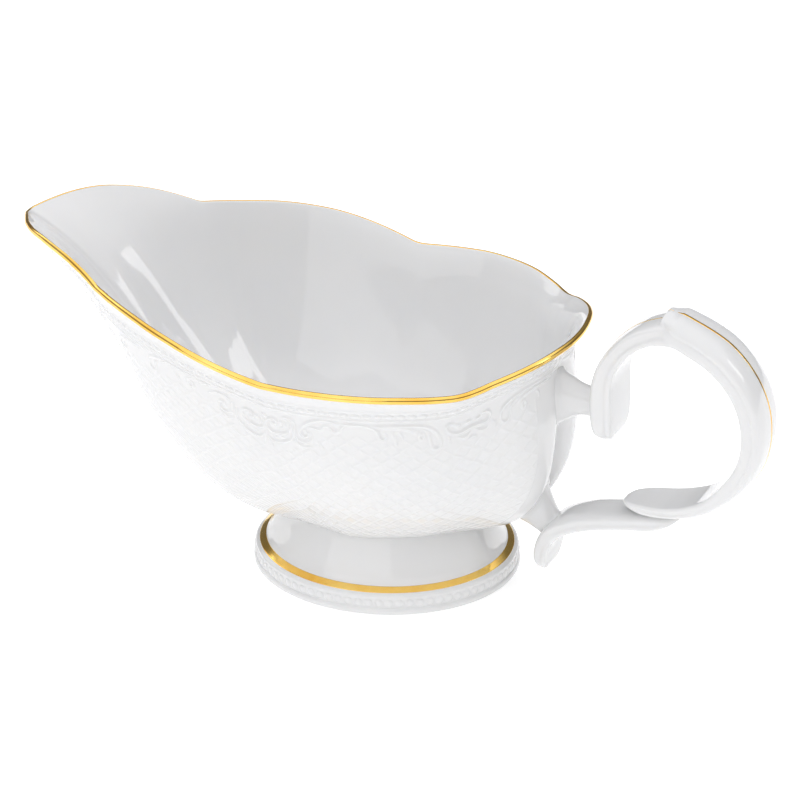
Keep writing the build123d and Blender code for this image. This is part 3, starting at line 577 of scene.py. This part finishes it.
blocks = np.concatenate([under, P_o, crest[1:]], 0)    # all rings with N_OUT columns, from the bottom up
n1 = len(blocks)
verts = np.vstack([blocks.reshape(-1, 3), P_i.reshape(-1, 3), [[0, 0, 14.56]], [[0, 0, float(P_i[-1, :, 2].mean()) - 0.02]]])
quads = np.vstack([grid_faces(n1, N_OUT), grid_faces(len(P_i), N_IN, n1 * N_OUT)])
polys = []
last = (n1 - 1) * N_OUT
for j in range(N_IN):                                  # join the crest's ring to the inside's wider columns
    a, b, c = last + 2 * j, last + 2 * j + 1, last + (2 * j + 2) % N_OUT
    polys.append([a, b, c, n1 * N_OUT + (j + 1) % N_IN, n1 * N_OUT + j])
base, top = len(verts) - 2, len(verts) - 1
polys += [[base, (j + 1) % N_OUT, j] for j in range(N_OUT)]
f0 = n1 * N_OUT + (len(P_i) - 1) * N_IN
polys += [[top, f0 + j, f0 + (j + 1) % N_IN] for j in range(N_IN)]
bowl = make_mesh("bowl_body", verts, quads, polys)
dress(bowl, PORCELAIN, "bowl", slot="porcelain")

# ---- gold line on the rim ------------------------------------------------------
GOLD_RISE = 0.035
gold_rows = []
for dist in (1.02, 0.96):                              # below the crest, on the outer wall
    fs = (L_col - dist)[None, :]
    rr_, zz_ = at(fs, r_f)[0], at(fs, z_f)[0]
    nr_, nz_ = at(fs, tz)[0], -at(fs, tr)[0]
    gold_rows.append((rr_, zz_, nr_, nz_))
lean = np.degrees(np.arctan2(top_t[0], top_t[1]))      # how far the lip leans outwards
for f in np.linspace(0, 1, 19):
    a = np.radians(f * np.minimum(lean + 114.0, 176.0))
    nr_ = np.cos(a) * top_n[0] + np.sin(a) * top_t[0]
    nz_ = np.cos(a) * top_n[1] + np.sin(a) * top_t[1]
    gold_rows.append((c_r + LIP_R * nr_, c_z + LIP_R * nz_, nr_, nz_))
rise = np.full(len(gold_rows), GOLD_RISE)
rise[0] = rise[-1] = 0.0
outer = [xyz(deg, r + n * h, z + m * h) for (r, z, n, m), h in zip(gold_rows, rise)]
inner = [xyz(deg, r - n * 0.06, z - m * 0.06) for (r, z, n, m) in gold_rows]
loop = outer + inner[::-1]
verts = np.array(loop).reshape(-1, 3)
k = len(loop)
rim_gold = make_mesh("rim_gold_line", verts, np.vstack([grid_faces(k, N_OUT), [[(k - 1) * N_OUT + j, (k - 1) * N_OUT + (j + 1) % N_OUT, (j + 1) % N_OUT, j] for j in range(N_OUT)]]))
dress(rim_gold, GOLD, "rim_gilding", slot="gold")

# ---- pedestal foot --------------------------------------------------------------
N_FOOT = 1296
FOOT_BEADS = 81
th = np.linspace(0, 2 * math.pi, N_FOOT, endpoint=False)
# outer profile: z, half axis X, half axis Y
FOOT = np.array([(0.0, 36.55, 34.65), (0.12, 36.95, 35.05), (0.40, 37.30, 35.38), (0.95, 37.46, 35.54), (1.50, 37.42, 35.50), (1.95, 37.22, 35.30),
                 (2.25, 36.98, 35.06), (3.1, 36.93, 35.02), (4.0, 36.92, 35.02), (4.55, 36.93, 35.02), (4.85, 36.98, 35.08), (5.2, 37.0, 35.12),
                 (5.62, 36.82, 35.0), (5.95, 36.42, 34.68), (6.27, 35.84, 34.20), (6.80, 34.92, 33.15), (7.28, 34.02, 32.14),
                 (7.9, 33.45, 31.6), (9.0, 32.75, 30.85), (10.5, 32.05, 30.1), (12.5, 31.2, 29.2), (14.5, 30.35, 28.35),
                 (16.2, 29.6, 27.6), (20.0, 28.2, 26.2)])
seg = np.r_[0, np.cumsum(np.hypot(np.diff(FOOT[:, 0]), np.diff(FOOT[:, 1])))]
fine = np.unique(np.round(np.r_[np.linspace(0, seg[-1], 120), np.linspace(seg[5], seg[10], 34), seg[14], seg[16]], 4))
foot_o = [akima(seg, FOOT[:, k], fine) for k in range(3)]
# the foot's wall stops where it reaches the belly resting in it: that height, all the way round
belly_tree = BVHTree.FromPolygons([tuple(v.co) for v in bowl.data.vertices], [tuple(p.vertices) for p in bowl.data.polygons])
meet = []
for t in th:
    wall_lo = Vector((32.9 * math.cos(t), 31.0 * math.sin(t), 8.75)) * MM
    wall_up = Vector((28.2 * math.cos(t), 26.2 * math.sin(t), 20.0)) * MM
    hit = belly_tree.ray_cast(wall_lo, (wall_up - wall_lo).normalized())[0]
    meet.append((hit.z / MM if hit is not None else 16.0) + 0.12)
meet = np.array(meet)
rows = []
for z, a, b in zip(*foot_o):
    if z > 7.9:
        z = 7.9 + (z - 7.9) * (meet - 7.9) / (20.0 - 7.9)
        a, b = (np.interp(z, foot_o[0], foot_o[i]) for i in (1, 2))
    r = np.stack([a * np.cos(th), b * np.sin(th), z + 0 * th], -1)
    # upright beads round the ring
    ang = th * FOOT_BEADS / (2 * math.pi)
    q = np.abs(ang - np.round(ang)) * (2 * math.pi * 36.0 / FOOT_BEADS)
    w = np.clip(1 - (q / 1.12) ** 2 - ((z - 3.55) / 1.15) ** 2, 0, 1)
    h = 0.40 * w ** 0.6
    n = np.stack([np.cos(th) / a, np.sin(th) / b, 0 * th], -1)
    n /= np.linalg.norm(n, axis=1, keepdims=True)
    rows.append(r + n * h[:, None])
FOOT_UNDER = np.array([(12.55, 22.4, 17.3), (12.55, 19.6, 14.4), (10.8, 20.0, 15.0), (10.3, 22.0, 18.0), (10.0, 25.0, 22.4), (9.4, 28.0, 26.0),
                       (8.2, 29.8, 27.8), (6.0, 31.4, 29.4),
                       (3.2, 33.2, 31.2), (1.6, 33.95, 32.05), (0.55, 34.15, 32.25), (0.14, 34.35, 32.45), (0.0, 34.75, 32.85)])
seg = np.r_[0, np.cumsum(np.hypot(np.diff(FOOT_UNDER[:, 0]), np.diff(FOOT_UNDER[:, 1])))]
fine = np.linspace(0, seg[-1], 56)
for z, a, b in zip(*[akima(seg, FOOT_UNDER[:, k], fine) for k in range(3)]):
    rows.append(np.stack([a * np.cos(th), b * np.sin(th), max(z, 0.0) + 0 * th], -1))
k = len(rows)
closing = [[(k - 1) * N_FOOT + j, (k - 1) * N_FOOT + (j + 1) % N_FOOT, (j + 1) % N_FOOT, j] for j in range(N_FOOT)]
foot = make_mesh("pedestal_foot_body", np.array(rows).reshape(-1, 3), np.vstack([grid_faces(k, N_FOOT), closing]))
dress(foot, PORCELAIN, "pedestal_foot", slot="porcelain")

# gold band on the shoulder of the foot
fo = np.array(foot_o).T
g = fo[(fo[:, 0] >= 6.27 - 1e-3) & (fo[:, 0] <= 7.28 + 1e-3)]
slope = np.gradient(g, axis=0)
rows_o, rows_i = [], []
for i, (z, a, b) in enumerate(g):
    dz, da = slope[i, 0], slope[i, 1]
    n = np.hypot(dz, da)
    nr, nz = dz / n, -da / n
    h = 0.0 if i in (0, len(g) - 1) else GOLD_RISE
    rows_o.append(np.stack([(a + nr * h) * np.cos(th), (b + nr * h) * np.sin(th), z + nz * h + 0 * th], -1))
    rows_i.append(np.stack([(a - nr * .06) * np.cos(th), (b - nr * .06) * np.sin(th), z - nz * .06 + 0 * th], -1))
loop = rows_o + rows_i[::-1]
k = len(loop)
closing = [[(k - 1) * N_FOOT + j, (k - 1) * N_FOOT + (j + 1) % N_FOOT, (j + 1) % N_FOOT, j] for j in range(N_FOOT)]
foot_gold = make_mesh("foot_gold_band", np.array(loop).reshape(-1, 3), np.vstack([grid_faces(k, N_FOOT), closing]))
dress(foot_gold, GOLD, "foot_gilding", slot="gold")

# slip joint between foot and bowl: a soft ledge
rows = []
for z, a, b in ((12.50, 19.75, 14.55), (12.46, 22.5, 17.45), (12.56, 22.62, 17.57), (12.75, 22.6, 17.55), (12.95, 22.42, 17.37), (13.1, 22.1, 17.05), (13.16, 21.7, 16.65), (13.02, 19.75, 14.55)):
    rows.append(np.stack([a * np.cos(th), b * np.sin(th), z + 0 * th], -1))
k = len(rows)
closing = [[(k - 1) * N_FOOT + j, (k - 1) * N_FOOT + (j + 1) % N_FOOT, (j + 1) % N_FOOT, j] for j in range(N_FOOT)]
ring = make_mesh("foot_slip_joint", np.array(rows).reshape(-1, 3), np.vstack([grid_faces(k, N_FOOT), closing]))
dress(ring, PORCELAIN, "foot_luting_ring", slot="porcelain")

# ---- handle -----------------------------------------------------------------------
# stations of each ribbon: x, z, thickness in the plane, width across (Y)
STRAP = [
    (81.76, 89.74, 0.84, 3.92), (82.04, 88.90, 2.80, 7.84), (82.74, 87.78, 4.76, 11.76),
    (84.00, 86.66, 6.16, 14.28), (85.82, 85.68, 6.58, 15.40), (90.16, 84.08, 6.30, 15.96),
    (96.10, 81.14, 6.30, 16.24), (100.58, 77.53, 6.16, 16.24), (103.68, 73.86, 6.02, 16.24),
    (106.09, 69.69, 5.96, 16.24), (107.80, 64.71, 5.88, 16.24), (108.47, 59.22, 5.68, 15.96),
    (108.08, 54.18, 5.54, 15.96), (106.46, 49.14, 5.60, 15.68), (103.60, 44.52, 5.60, 15.68),
    (99.90, 40.32, 4.90, 15.68), (95.87, 36.90, 4.20, 15.68), (91.64, 34.66, 4.06, 15.68),
    (87.08, 33.24, 3.78, 15.40), (82.60, 32.40, 3.64, 14.84), (77.84, 32.00, 3.64, 13.44),
    (74.20, 31.86, 3.08, 11.20), (71.82, 31.92, 2.24, 7.84), (70.42, 32.00, 0.84, 3.36)]
UPPER_SCROLL = [
    (65.80, 49.84, 1.40, 2.80), (65.74, 50.26, 3.36, 6.72), (65.60, 51.24, 5.04, 10.64),
    (65.38, 52.92, 6.16, 13.72), (65.13, 55.72, 6.86, 15.68), (64.96, 60.76, 7.14, 16.24),
    (64.96, 65.52, 6.86, 16.24), (65.52, 69.72, 6.16, 15.96), (66.92, 73.50, 5.60, 15.68),
    (69.24, 77.14, 5.32, 15.12), (72.32, 80.36, 5.18, 14.84), (75.88, 82.74, 5.18, 14.56),
    (79.52, 84.28, 5.18, 14.28), (83.16, 85.26, 4.76, 13.44), (86.80, 84.84, 3.36, 11.20)]
LOWER_SCROLL = [
    (47.60, 7.42, 1.12, 2.80), (47.68, 7.98, 2.52, 6.72), (47.80, 9.10, 3.64, 10.36),
    (47.88, 11.20, 4.20, 13.16), (48.16, 13.72, 4.34, 14.56), (49.00, 16.80, 4.48, 15.12),
    (50.96, 20.02, 4.48, 15.12), (53.90, 22.40, 4.34, 15.12), (57.68, 24.16, 4.20, 15.12),
    (61.60, 25.48, 4.06, 15.12), (66.08, 26.46, 3.92, 14.84), (70.56, 27.24, 3.86, 14.56),
    (75.04, 27.89, 3.92, 14.00), (79.24, 28.36, 4.06, 12.88), (83.16, 29.26, 3.36, 10.64),
    (86.24, 30.24, 1.68, 6.72), (87.36, 30.94, 0.56, 3.36)]
# stations of the two roots: x, z, direction of the long axis (x, z), long axis, width
UPPER_ROOT = [
    (47.04, 58.24, 0.000, 1.000, 18.48, 11.20), (49.84, 58.66, 0.000, 1.000, 16.24, 9.80),
    (52.36, 58.94, 0.000, 1.000, 13.72, 8.68), (54.88, 59.22, 0.000, 1.000, 10.92, 7.56),
    (57.68, 59.22, 0.000, 1.000, 8.40, 7.00), (60.48, 58.94, 0.000, 1.000, 7.56, 6.72),
    (63.28, 58.80, 0.000, 1.000, 7.28, 6.72)]
LOWER_ROOT = [
    (38.08, 29.68, 0.700, 0.714, 20.16, 12.32), (40.32, 27.86, 0.700, 0.714, 17.64, 10.64),
    (42.28, 26.32, 0.700, 0.714, 15.12, 9.24), (44.24, 24.78, 0.700, 0.714, 12.04, 8.12),
    (46.20, 22.96, 0.700, 0.714, 9.52, 7.56), (47.88, 21.28, 0.700, 0.714, 7.84, 7.28),
    (49.56, 19.60, 0.700, 0.714, 6.72, 6.72)]


def dense(stations, n):
    st = np.array(stations, float)
    s = np.r_[0, np.cumsum(np.hypot(*np.diff(st[:, :2], axis=0).T))]
    q = np.linspace(0, s[-1], n)
    st = np.stack([pchip(s, st[:, k], q) if k > 1 else akima(s, st[:, k], q) for k in range(st.shape[1])], -1)
    d = np.stack([np.gradient(st[:, 0], q), np.gradient(st[:, 1], q)], -1)
    d /= np.hypot(*d.T)[:, None]
    return st, d, q


def section(tk, w, dome, quirk, channel, m=56):
    """Half cross-section of a moulded ribbon, from the middle of the inner face round the side to the crest:
    a flat inner face, a bead on its edge, a shallow channel, a quirk line, then a domed outer face."""
    ht, hw = tk / 2, w / 2
    full = min(max((w - 9) / 4.5, 0), 1) * min(max((tk - 2.4) / 1.4, 0), 1)
    rc = min(0.75, 0.4 * ht, 0.3 * hw)
    u1 = ht * (dome * full - (1 - full) * 0.25)        # height where the dome starts
    u, v = [], []
    for f in np.linspace(0, 1, 8)[:-1]:
        u.append(-ht), v.append((hw - rc) * f)
    for a in np.linspace(0, math.pi / 2, 7)[:-1]:
        u.append(-ht + rc * (1 - math.cos(a))), v.append(hw - rc + rc * math.sin(a))
    lo, hi = -ht + rc, u1
    for f in np.linspace(0, 1, 17):
        x = lo + (hi - lo) * f
        dip = channel * full * step(f, 0.16, 0.42) * (1 - 0.35 * step(f, 0.6, 0.9))
        q = quirk * full * math.exp(-((x - (u1 - 0.34)) / 0.26) ** 2)
        u.append(x), v.append(hw - dip - q)
    side = v[-1]
    p = 2.0 + 0.75 * full
    for a in np.linspace(0, math.pi / 2, 20)[1:]:
        u.append(u1 + (ht - u1) * math.sin(a) ** (2 / p)), v.append(side * math.cos(a) ** (2 / p))
    u, v = np.array(u), np.array(v)
    q = np.r_[0, np.cumsum(np.hypot(np.diff(u), np.diff(v)))]
    k = np.linspace(0, 1, m)
    return np.interp(k * q[-1], q, u), np.interp(k * q[-1], q, v)


def ribbon_mesh(stations, n, dome=0.05, quirk=0.42, channel=0.12, flip=1):
    st, d, q = dense(stations, n)
    V = []
    for (x, z, tk, w), (dx, dz) in zip(st, d):
        u, v = section(tk, w, dome, quirk, channel)
        u, v = np.r_[u, u[-2:0:-1]] * flip, np.r_[v, -v[-2:0:-1]]
        V.append(np.stack([x - dz * u, v, z + dx * u], -1))
    V = np.array(V)
    m = V.shape[1]
    verts = np.vstack([V.reshape(-1, 3), V[0].mean(0), V[-1].mean(0)])
    quads = grid_faces(n, m)
    a, b = len(verts) - 2, len(verts) - 1
    polys = [[a, (j + 1) % m, j] for j in range(m)] + [[b, (n - 1) * m + j, (n - 1) * m + (j + 1) % m] for j in range(m)]
    return verts, quads, polys


def root_mesh(stations, n, m=72, power=2.3, grow=0.12):
    st = np.array(stations, float)
    s = np.r_[0, np.cumsum(np.hypot(*np.diff(st[:, :2], axis=0).T))]
    q = np.linspace(0, s[-1], n)
    st = np.stack([pchip(s, st[:, k], q) for k in range(st.shape[1])], -1)
    t = np.linspace(0, 2 * math.pi, m, endpoint=False)
    c, sn = np.cos(t), np.sin(t)
    u0, v0 = np.sign(c) * np.abs(c) ** (2 / power), np.sign(sn) * np.abs(sn) ** (2 / power)
    V = []
    for x, z, dx, dz, lg, w in st:
        l = math.hypot(dx, dz)
        V.append(np.stack([x + dx / l * u0 * (lg / 2 + grow), v0 * (w / 2 + grow), z + dz / l * u0 * (lg / 2 + grow)], -1))
    V = np.array(V)
    verts = np.vstack([V.reshape(-1, 3), V[0].mean(0), V[-1].mean(0)])
    a, b = len(verts) - 2, len(verts) - 1
    polys = [[a, (j + 1) % m, j] for j in range(m)] + [[b, (n - 1) * m + j, (n - 1) * m + (j + 1) % m] for j in range(m)]
    return verts, grid_faces(n, m), polys


def signed_volume(verts, quads, polys):
    v = 0.0
    tri = np.vstack([quads[:, [0, 1, 2]], quads[:, [0, 2, 3]], np.array(polys)])
    a, b, c = verts[tri[:, 0]], verts[tri[:, 1]], verts[tri[:, 2]]
    return float((a * np.cross(b, c)).sum() / 6)


# the upper scroll runs on as a thin ribbon along the inside of the strap
run = np.array(STRAP)[4:16]
way = np.gradient(run[:, :2], axis=0)
way /= np.hypot(*way.T)[:, None]
lay = run[:, 2] / 2 - 0.95
thin = np.array([2.9, 2.8] + [2.7] * 7 + [2.5, 2.0, 1.2])
broad = np.array([15.5, 15.8] + [15.9] * 7 + [15.0, 12.0, 6.0])
INNER_RUN = [(76.4, 82.3, 1.6, 12.5), (79.4, 83.0, 2.8, 14.7), (82.2, 83.4, 3.0, 15.2)] + [
    (x + dz * o, z - dx * o, t_, w_) for (x, z), (dx, dz), o, t_, w_ in zip(run[:, :2], way, lay, thin, broad)]

parts = [ribbon_mesh(STRAP, 300), ribbon_mesh(INNER_RUN, 240, dome=0.2, quirk=0.0, channel=0.0), ribbon_mesh(UPPER_SCROLL, 170, dome=0.35, quirk=0.10, channel=0.42),
         ribbon_mesh(LOWER_SCROLL, 170, dome=0.30, quirk=0.10, channel=0.30),
         root_mesh(UPPER_ROOT, 60), root_mesh(LOWER_ROOT, 60)]
VV, QQ, PP, base = [], [], [], 0
for verts, quads, polys in parts:
    if signed_volume(verts, quads, polys) < 0:
        quads = quads[:, ::-1]
        polys = [p[::-1] for p in polys]
    VV.append(verts)
    QQ.append(quads + base)
    PP += [[i + base for i in p] for p in polys]
    base += len(verts)
raw = make_mesh("handle_raw", np.vstack(VV), np.vstack(QQ), PP)
fuse = raw.modifiers.new("fuse", "REMESH")
fuse.mode = "VOXEL"
fuse.voxel_size = 0.00024
fuse.use_smooth_shade = True
soft = raw.modifiers.new("soft", "SMOOTH")
soft.factor = 0.5
soft.iterations = 3
dg = bpy.context.evaluated_depsgraph_get()
me = bpy.data.meshes.new_from_object(raw.evaluated_get(dg))
bpy.data.objects.remove(raw)
me.name = "handle_body"
handle = bpy.data.objects.new("handle_body", me)
bpy.context.scene.collection.objects.link(handle)
co = np.empty(len(me.vertices) * 3, np.float32)
me.vertices.foreach_get("co", co)
co = co.reshape(-1, 3).astype(float) / MM

# wipe the slip smooth where the ribbons run together
edge = np.empty(len(me.edges) * 2, np.int32)
me.edges.foreach_get("vertices", edge)
edge = edge.reshape(-1, 2)
wipe = np.maximum(np.clip(1.4 - np.hypot(co[:, 0] - 98.5, co[:, 2] - 39.5) / 8.0, 0, 1),
                  0.8 * np.clip(1.4 - np.hypot(co[:, 0] - 84.5, co[:, 2] - 82.0) / 3.6, 0, 1))
sel = np.nonzero(wipe[edge].max(1) > 0)[0]
ea, eb = edge[sel].T
deg_ = np.maximum(np.bincount(np.r_[ea, eb], minlength=len(co)), 1)
for _ in range(36):
    mean = np.stack([np.bincount(np.r_[ea, eb], np.r_[co[eb, k], co[ea, k]], minlength=len(co)) for k in range(3)], -1) / deg_[:, None]
    co += (mean - co) * (0.5 * wipe)[:, None]
me.vertices.foreach_set("co", (co * MM).astype(np.float32).ravel())
me.update()

# the wall of the bowl behind the handle, as radius by plan angle and height
W_DEG = np.arange(-40, 40.01, 0.5)
W_Z = np.linspace(15, 76, 245)
tq = np.linspace(0, 1, 800)
wall_r = np.empty((len(W_DEG), len(W_Z)))
for i, a in enumerate(W_DEG):
    rr_, zz_ = belly(a, tq)
    wall_r[i] = np.interp(W_Z, zz_, rr_)


def wall_at(P):
    a = np.clip((np.degrees(np.arctan2(P[:, 1], P[:, 0])) + 40) / 0.5, 0, len(W_DEG) - 1.001)
    z = np.clip((P[:, 2] - 15) / (W_Z[1] - W_Z[0]), 0, len(W_Z) - 1.001)
    i, j = a.astype(int), z.astype(int)
    fa, fz = a - i, z - j
    return ((1 - fa) * (1 - fz) * wall_r[i, j] + fa * (1 - fz) * wall_r[i + 1, j]
            + (1 - fa) * fz * wall_r[i, j + 1] + fa * fz * wall_r[i + 1, j + 1])


nrm = np.empty(len(me.vertices) * 3, np.float32)
me.vertices.foreach_get("normal", nrm)
nrm = nrm.reshape(-1, 3).astype(float)
rad = np.hypot(co[:, 0], co[:, 1])
near = (rad < 62) & (co[:, 2] > 16)
gap = np.where(near, rad - wall_at(co), 99.0)
flare = np.where((gap < 2.2) & (gap > -1.0), 0.75 * np.clip(1 - gap / 2.2, 0, 1) ** 2.2, 0.0)
co = co + nrm * flare[:, None]
rad = np.hypot(co[:, 0], co[:, 1])
keep_r = wall_at(co) - 1.3
inside = near & (rad < keep_r)
co[inside, :2] *= (keep_r[inside] / rad[inside])[:, None]
me.vertices.foreach_set("co", (co * MM).astype(np.float32).ravel())
me.update()
for p in me.polygons:
    p.use_smooth = True
dress(handle, PORCELAIN, "handle", "upper_handle_luting", "lower_handle_luting", slot="porcelain")

# gold line along the crest of the handle, laid on its surface
bvh = BVHTree.FromPolygons([tuple(v) for v in co], [tuple(p.vertices) for p in me.polygons])


def laid_line(stations, s0, s1, width, n):
    st, d, q = dense(stations, 400)
    rows = []
    prof = ((-1.0, -0.03), (-0.9, 0.025), (-0.5, 0.05), (0.0, 0.06), (0.5, 0.05), (0.9, 0.025), (1.0, -0.03), (0.8, -0.10), (0.0, -0.12), (-0.8, -0.10))
    ss = np.linspace(s0, s1, n)
    for i, s in enumerate(ss):
        x, z, dx, dz = (np.interp(s * q[-1], q, v) for v in (st[:, 0], st[:, 1], d[:, 0], d[:, 1]))
        end = min(1.0, 0.3 + 16 * i / n) * (1 - 0.45 * i / n) * min(1.0, 0.15 + 6 * (1 - i / n))
        row = []
        for y, h in prof:
            o = Vector((x - dz * 14, y * width / 2 * end, z + dx * 14))
            hit, nor, _, _ = bvh.ray_cast(o, Vector((dz, 0, -dx)))
            if hit is None:
                hit, nor = Vector((x, y * width / 2, z)), Vector((-dz, 0, dx))
            row.append(tuple(hit + Vector((-dz, 0, dx)) * h))
        rows.append(row)
    V = np.array(rows)
    m = len(prof)
    verts = np.vstack([V.reshape(-1, 3), V[0].mean(0), V[-1].mean(0)])
    a, b = len(verts) - 2, len(verts) - 1
    polys = [[a, (j + 1) % m, j] for j in range(m)] + [[b, (n - 1) * m + j, (n - 1) * m + (j + 1) % m] for j in range(m)]
    quads = grid_faces(n, m)
    if signed_volume(verts, quads, polys) < 0:
        quads, polys = quads[:, ::-1], [p[::-1] for p in polys]
    return verts, quads, polys


VV, QQ, PP, base = [], [], [], 0
for verts, quads, polys in (laid_line(STRAP, 0.016, 0.62, 1.05, 260), laid_line(UPPER_SCROLL, 0.50, 0.93, 0.80, 110)):
    VV.append(verts)
    QQ.append(quads + base)
    PP += [[i + base for i in p] for p in polys]
    base += len(verts)
line = make_mesh("handle_gold_line", np.vstack(VV), np.vstack(QQ), PP)
dress(line, GOLD, "handle_gilding", slot="gold")

# ---- floor, light, camera ------------------------------------------------------------
fl = make_mesh("studio_floor", [(-3000, -3000, 0), (3000, -3000, 0), (3000, 3000, 0), (-3000, 3000, 0)], [[0, 1, 2, 3]])
m, nt, b = node_tree("pale_floor")
b.inputs["Base Color"].default_value = (0.95, 0.95, 0.95, 1)
b.inputs["Roughness"].default_value = 0.9
b.inputs["Specular IOR Level"].default_value = 0.1
b.inputs["Emission Color"].default_value = (1, 1, 1, 1)
b.inputs["Emission Strength"].default_value = 0.33
fl.data.materials.append(m)

scene = bpy.context.scene
scene.view_settings.view_transform = "Standard"
scene.view_settings.look = "None"
scene.view_settings.exposure = 0.0
scene.view_settings.gamma = 1.0
FRONT, REAR, CEILING = 0.36, 0.17, 1.26
world = bpy.data.worlds.new("studio")
scene.world = world
world.use_nodes = True
wt = world.node_tree
bg = wt.nodes["Background"]
# bright room in front, dark room behind and a greyer ceiling, as in a table-top studio
wc = add(wt, "ShaderNodeTexCoord")
ws = add(wt, "ShaderNodeSeparateXYZ")
wt.links.new(wc.outputs["Generated"], ws.inputs[0])
rear = add(wt, "ShaderNodeMapRange", interpolation_type="SMOOTHSTEP")
rear.inputs["From Min"].default_value = 0.15
rear.inputs["From Max"].default_value = 0.50
wt.links.new(ws.outputs["Y"], rear.inputs["Value"])
ceil = add(wt, "ShaderNodeMapRange", interpolation_type="SMOOTHSTEP")
ceil.inputs["From Min"].default_value = 0.45
ceil.inputs["From Max"].default_value = 0.75
wt.links.new(ws.outputs["Z"], ceil.inputs["Value"])
m1 = add(wt, "ShaderNodeMix", data_type="RGBA")
m1.inputs["A"].default_value = (FRONT, FRONT, FRONT, 1)
m1.inputs["B"].default_value = (REAR, REAR, REAR * 1.03, 1)
wt.links.new(rear.outputs["Result"], m1.inputs["Factor"])
m2 = add(wt, "ShaderNodeMix", data_type="RGBA")
m2.inputs["B"].default_value = (CEILING, CEILING, CEILING * 1.02, 1)
wt.links.new(ceil.outputs["Result"], m2.inputs["Factor"])
wt.links.new(m1.outputs["Result"], m2.inputs["A"])
wt.links.new(m2.outputs["Result"], bg.inputs["Color"])
bg.inputs["Strength"].default_value = 1.0


def softbox(name, place, aim, w, h, power):
    l = bpy.data.lights.new(name, "AREA")
    l.shape = "RECTANGLE"
    l.size, l.size_y = w, h
    l.energy = power
    o = bpy.data.objects.new(name, l)
    scene.collection.objects.link(o)
    o.location = place
    o.rotation_euler = (Vector(aim) - Vector(place)).to_track_quat("-Z", "Y").to_euler()
    return o


def box_at(name, az, el, dist, w, h, radiance):
    """Softbox seen from the jug at azimuth az (0 = -Y, 90 = +X) and elevation el, in degrees; size in metres."""
    a, e = math.radians(az), math.radians(el)
    at_ = (dist * math.sin(a) * math.cos(e), -dist * math.cos(a) * math.cos(e), 0.05 + dist * math.sin(e))
    return softbox(name, at_, (0, 0, 0.05), w, h, radiance * math.pi * w * h)


box_at("front_softbox", -9.0, 25.0, 2.2, 2.45, 1.20, 0.80)
box_at("right_softbox", 110.0, 33.0, 1.6, 0.42, 0.50, 2.9)
box_at("left_softbox", -105.0, 30.0, 1.8, 0.7, 0.8, 1.15)

UNIT = 0.00028
A, E, F, U0, V0 = math.radians(23.43), math.radians(25.0), 4331.6, 387.14, 556.11
right = Vector((math.cos(A), math.sin(A), 0))
up = Vector((-math.sin(A) * math.sin(E), math.cos(A) * math.sin(E), math.cos(E)))
back = Vector((math.sin(A) * math.cos(E), -math.cos(A) * math.cos(E), math.sin(E)))
place = (right * -(U0 - 400) + up * (V0 - 400) + back * F) * UNIT
cam = bpy.data.cameras.new("camera")
cam.sensor_fit = "HORIZONTAL"
cam.sensor_width = 36.0
cam.lens = F / 800 * 36.0
cam.clip_start, cam.clip_end = 0.05, 20.0
cam_ob = bpy.data.objects.new("camera", cam)
scene.collection.objects.link(cam_ob)
cam_ob.location = place
cam_ob.rotation_euler = back.to_track_quat("Z", "Y").to_euler()
scene.camera = cam_ob

bpy.context.view_layer.update()
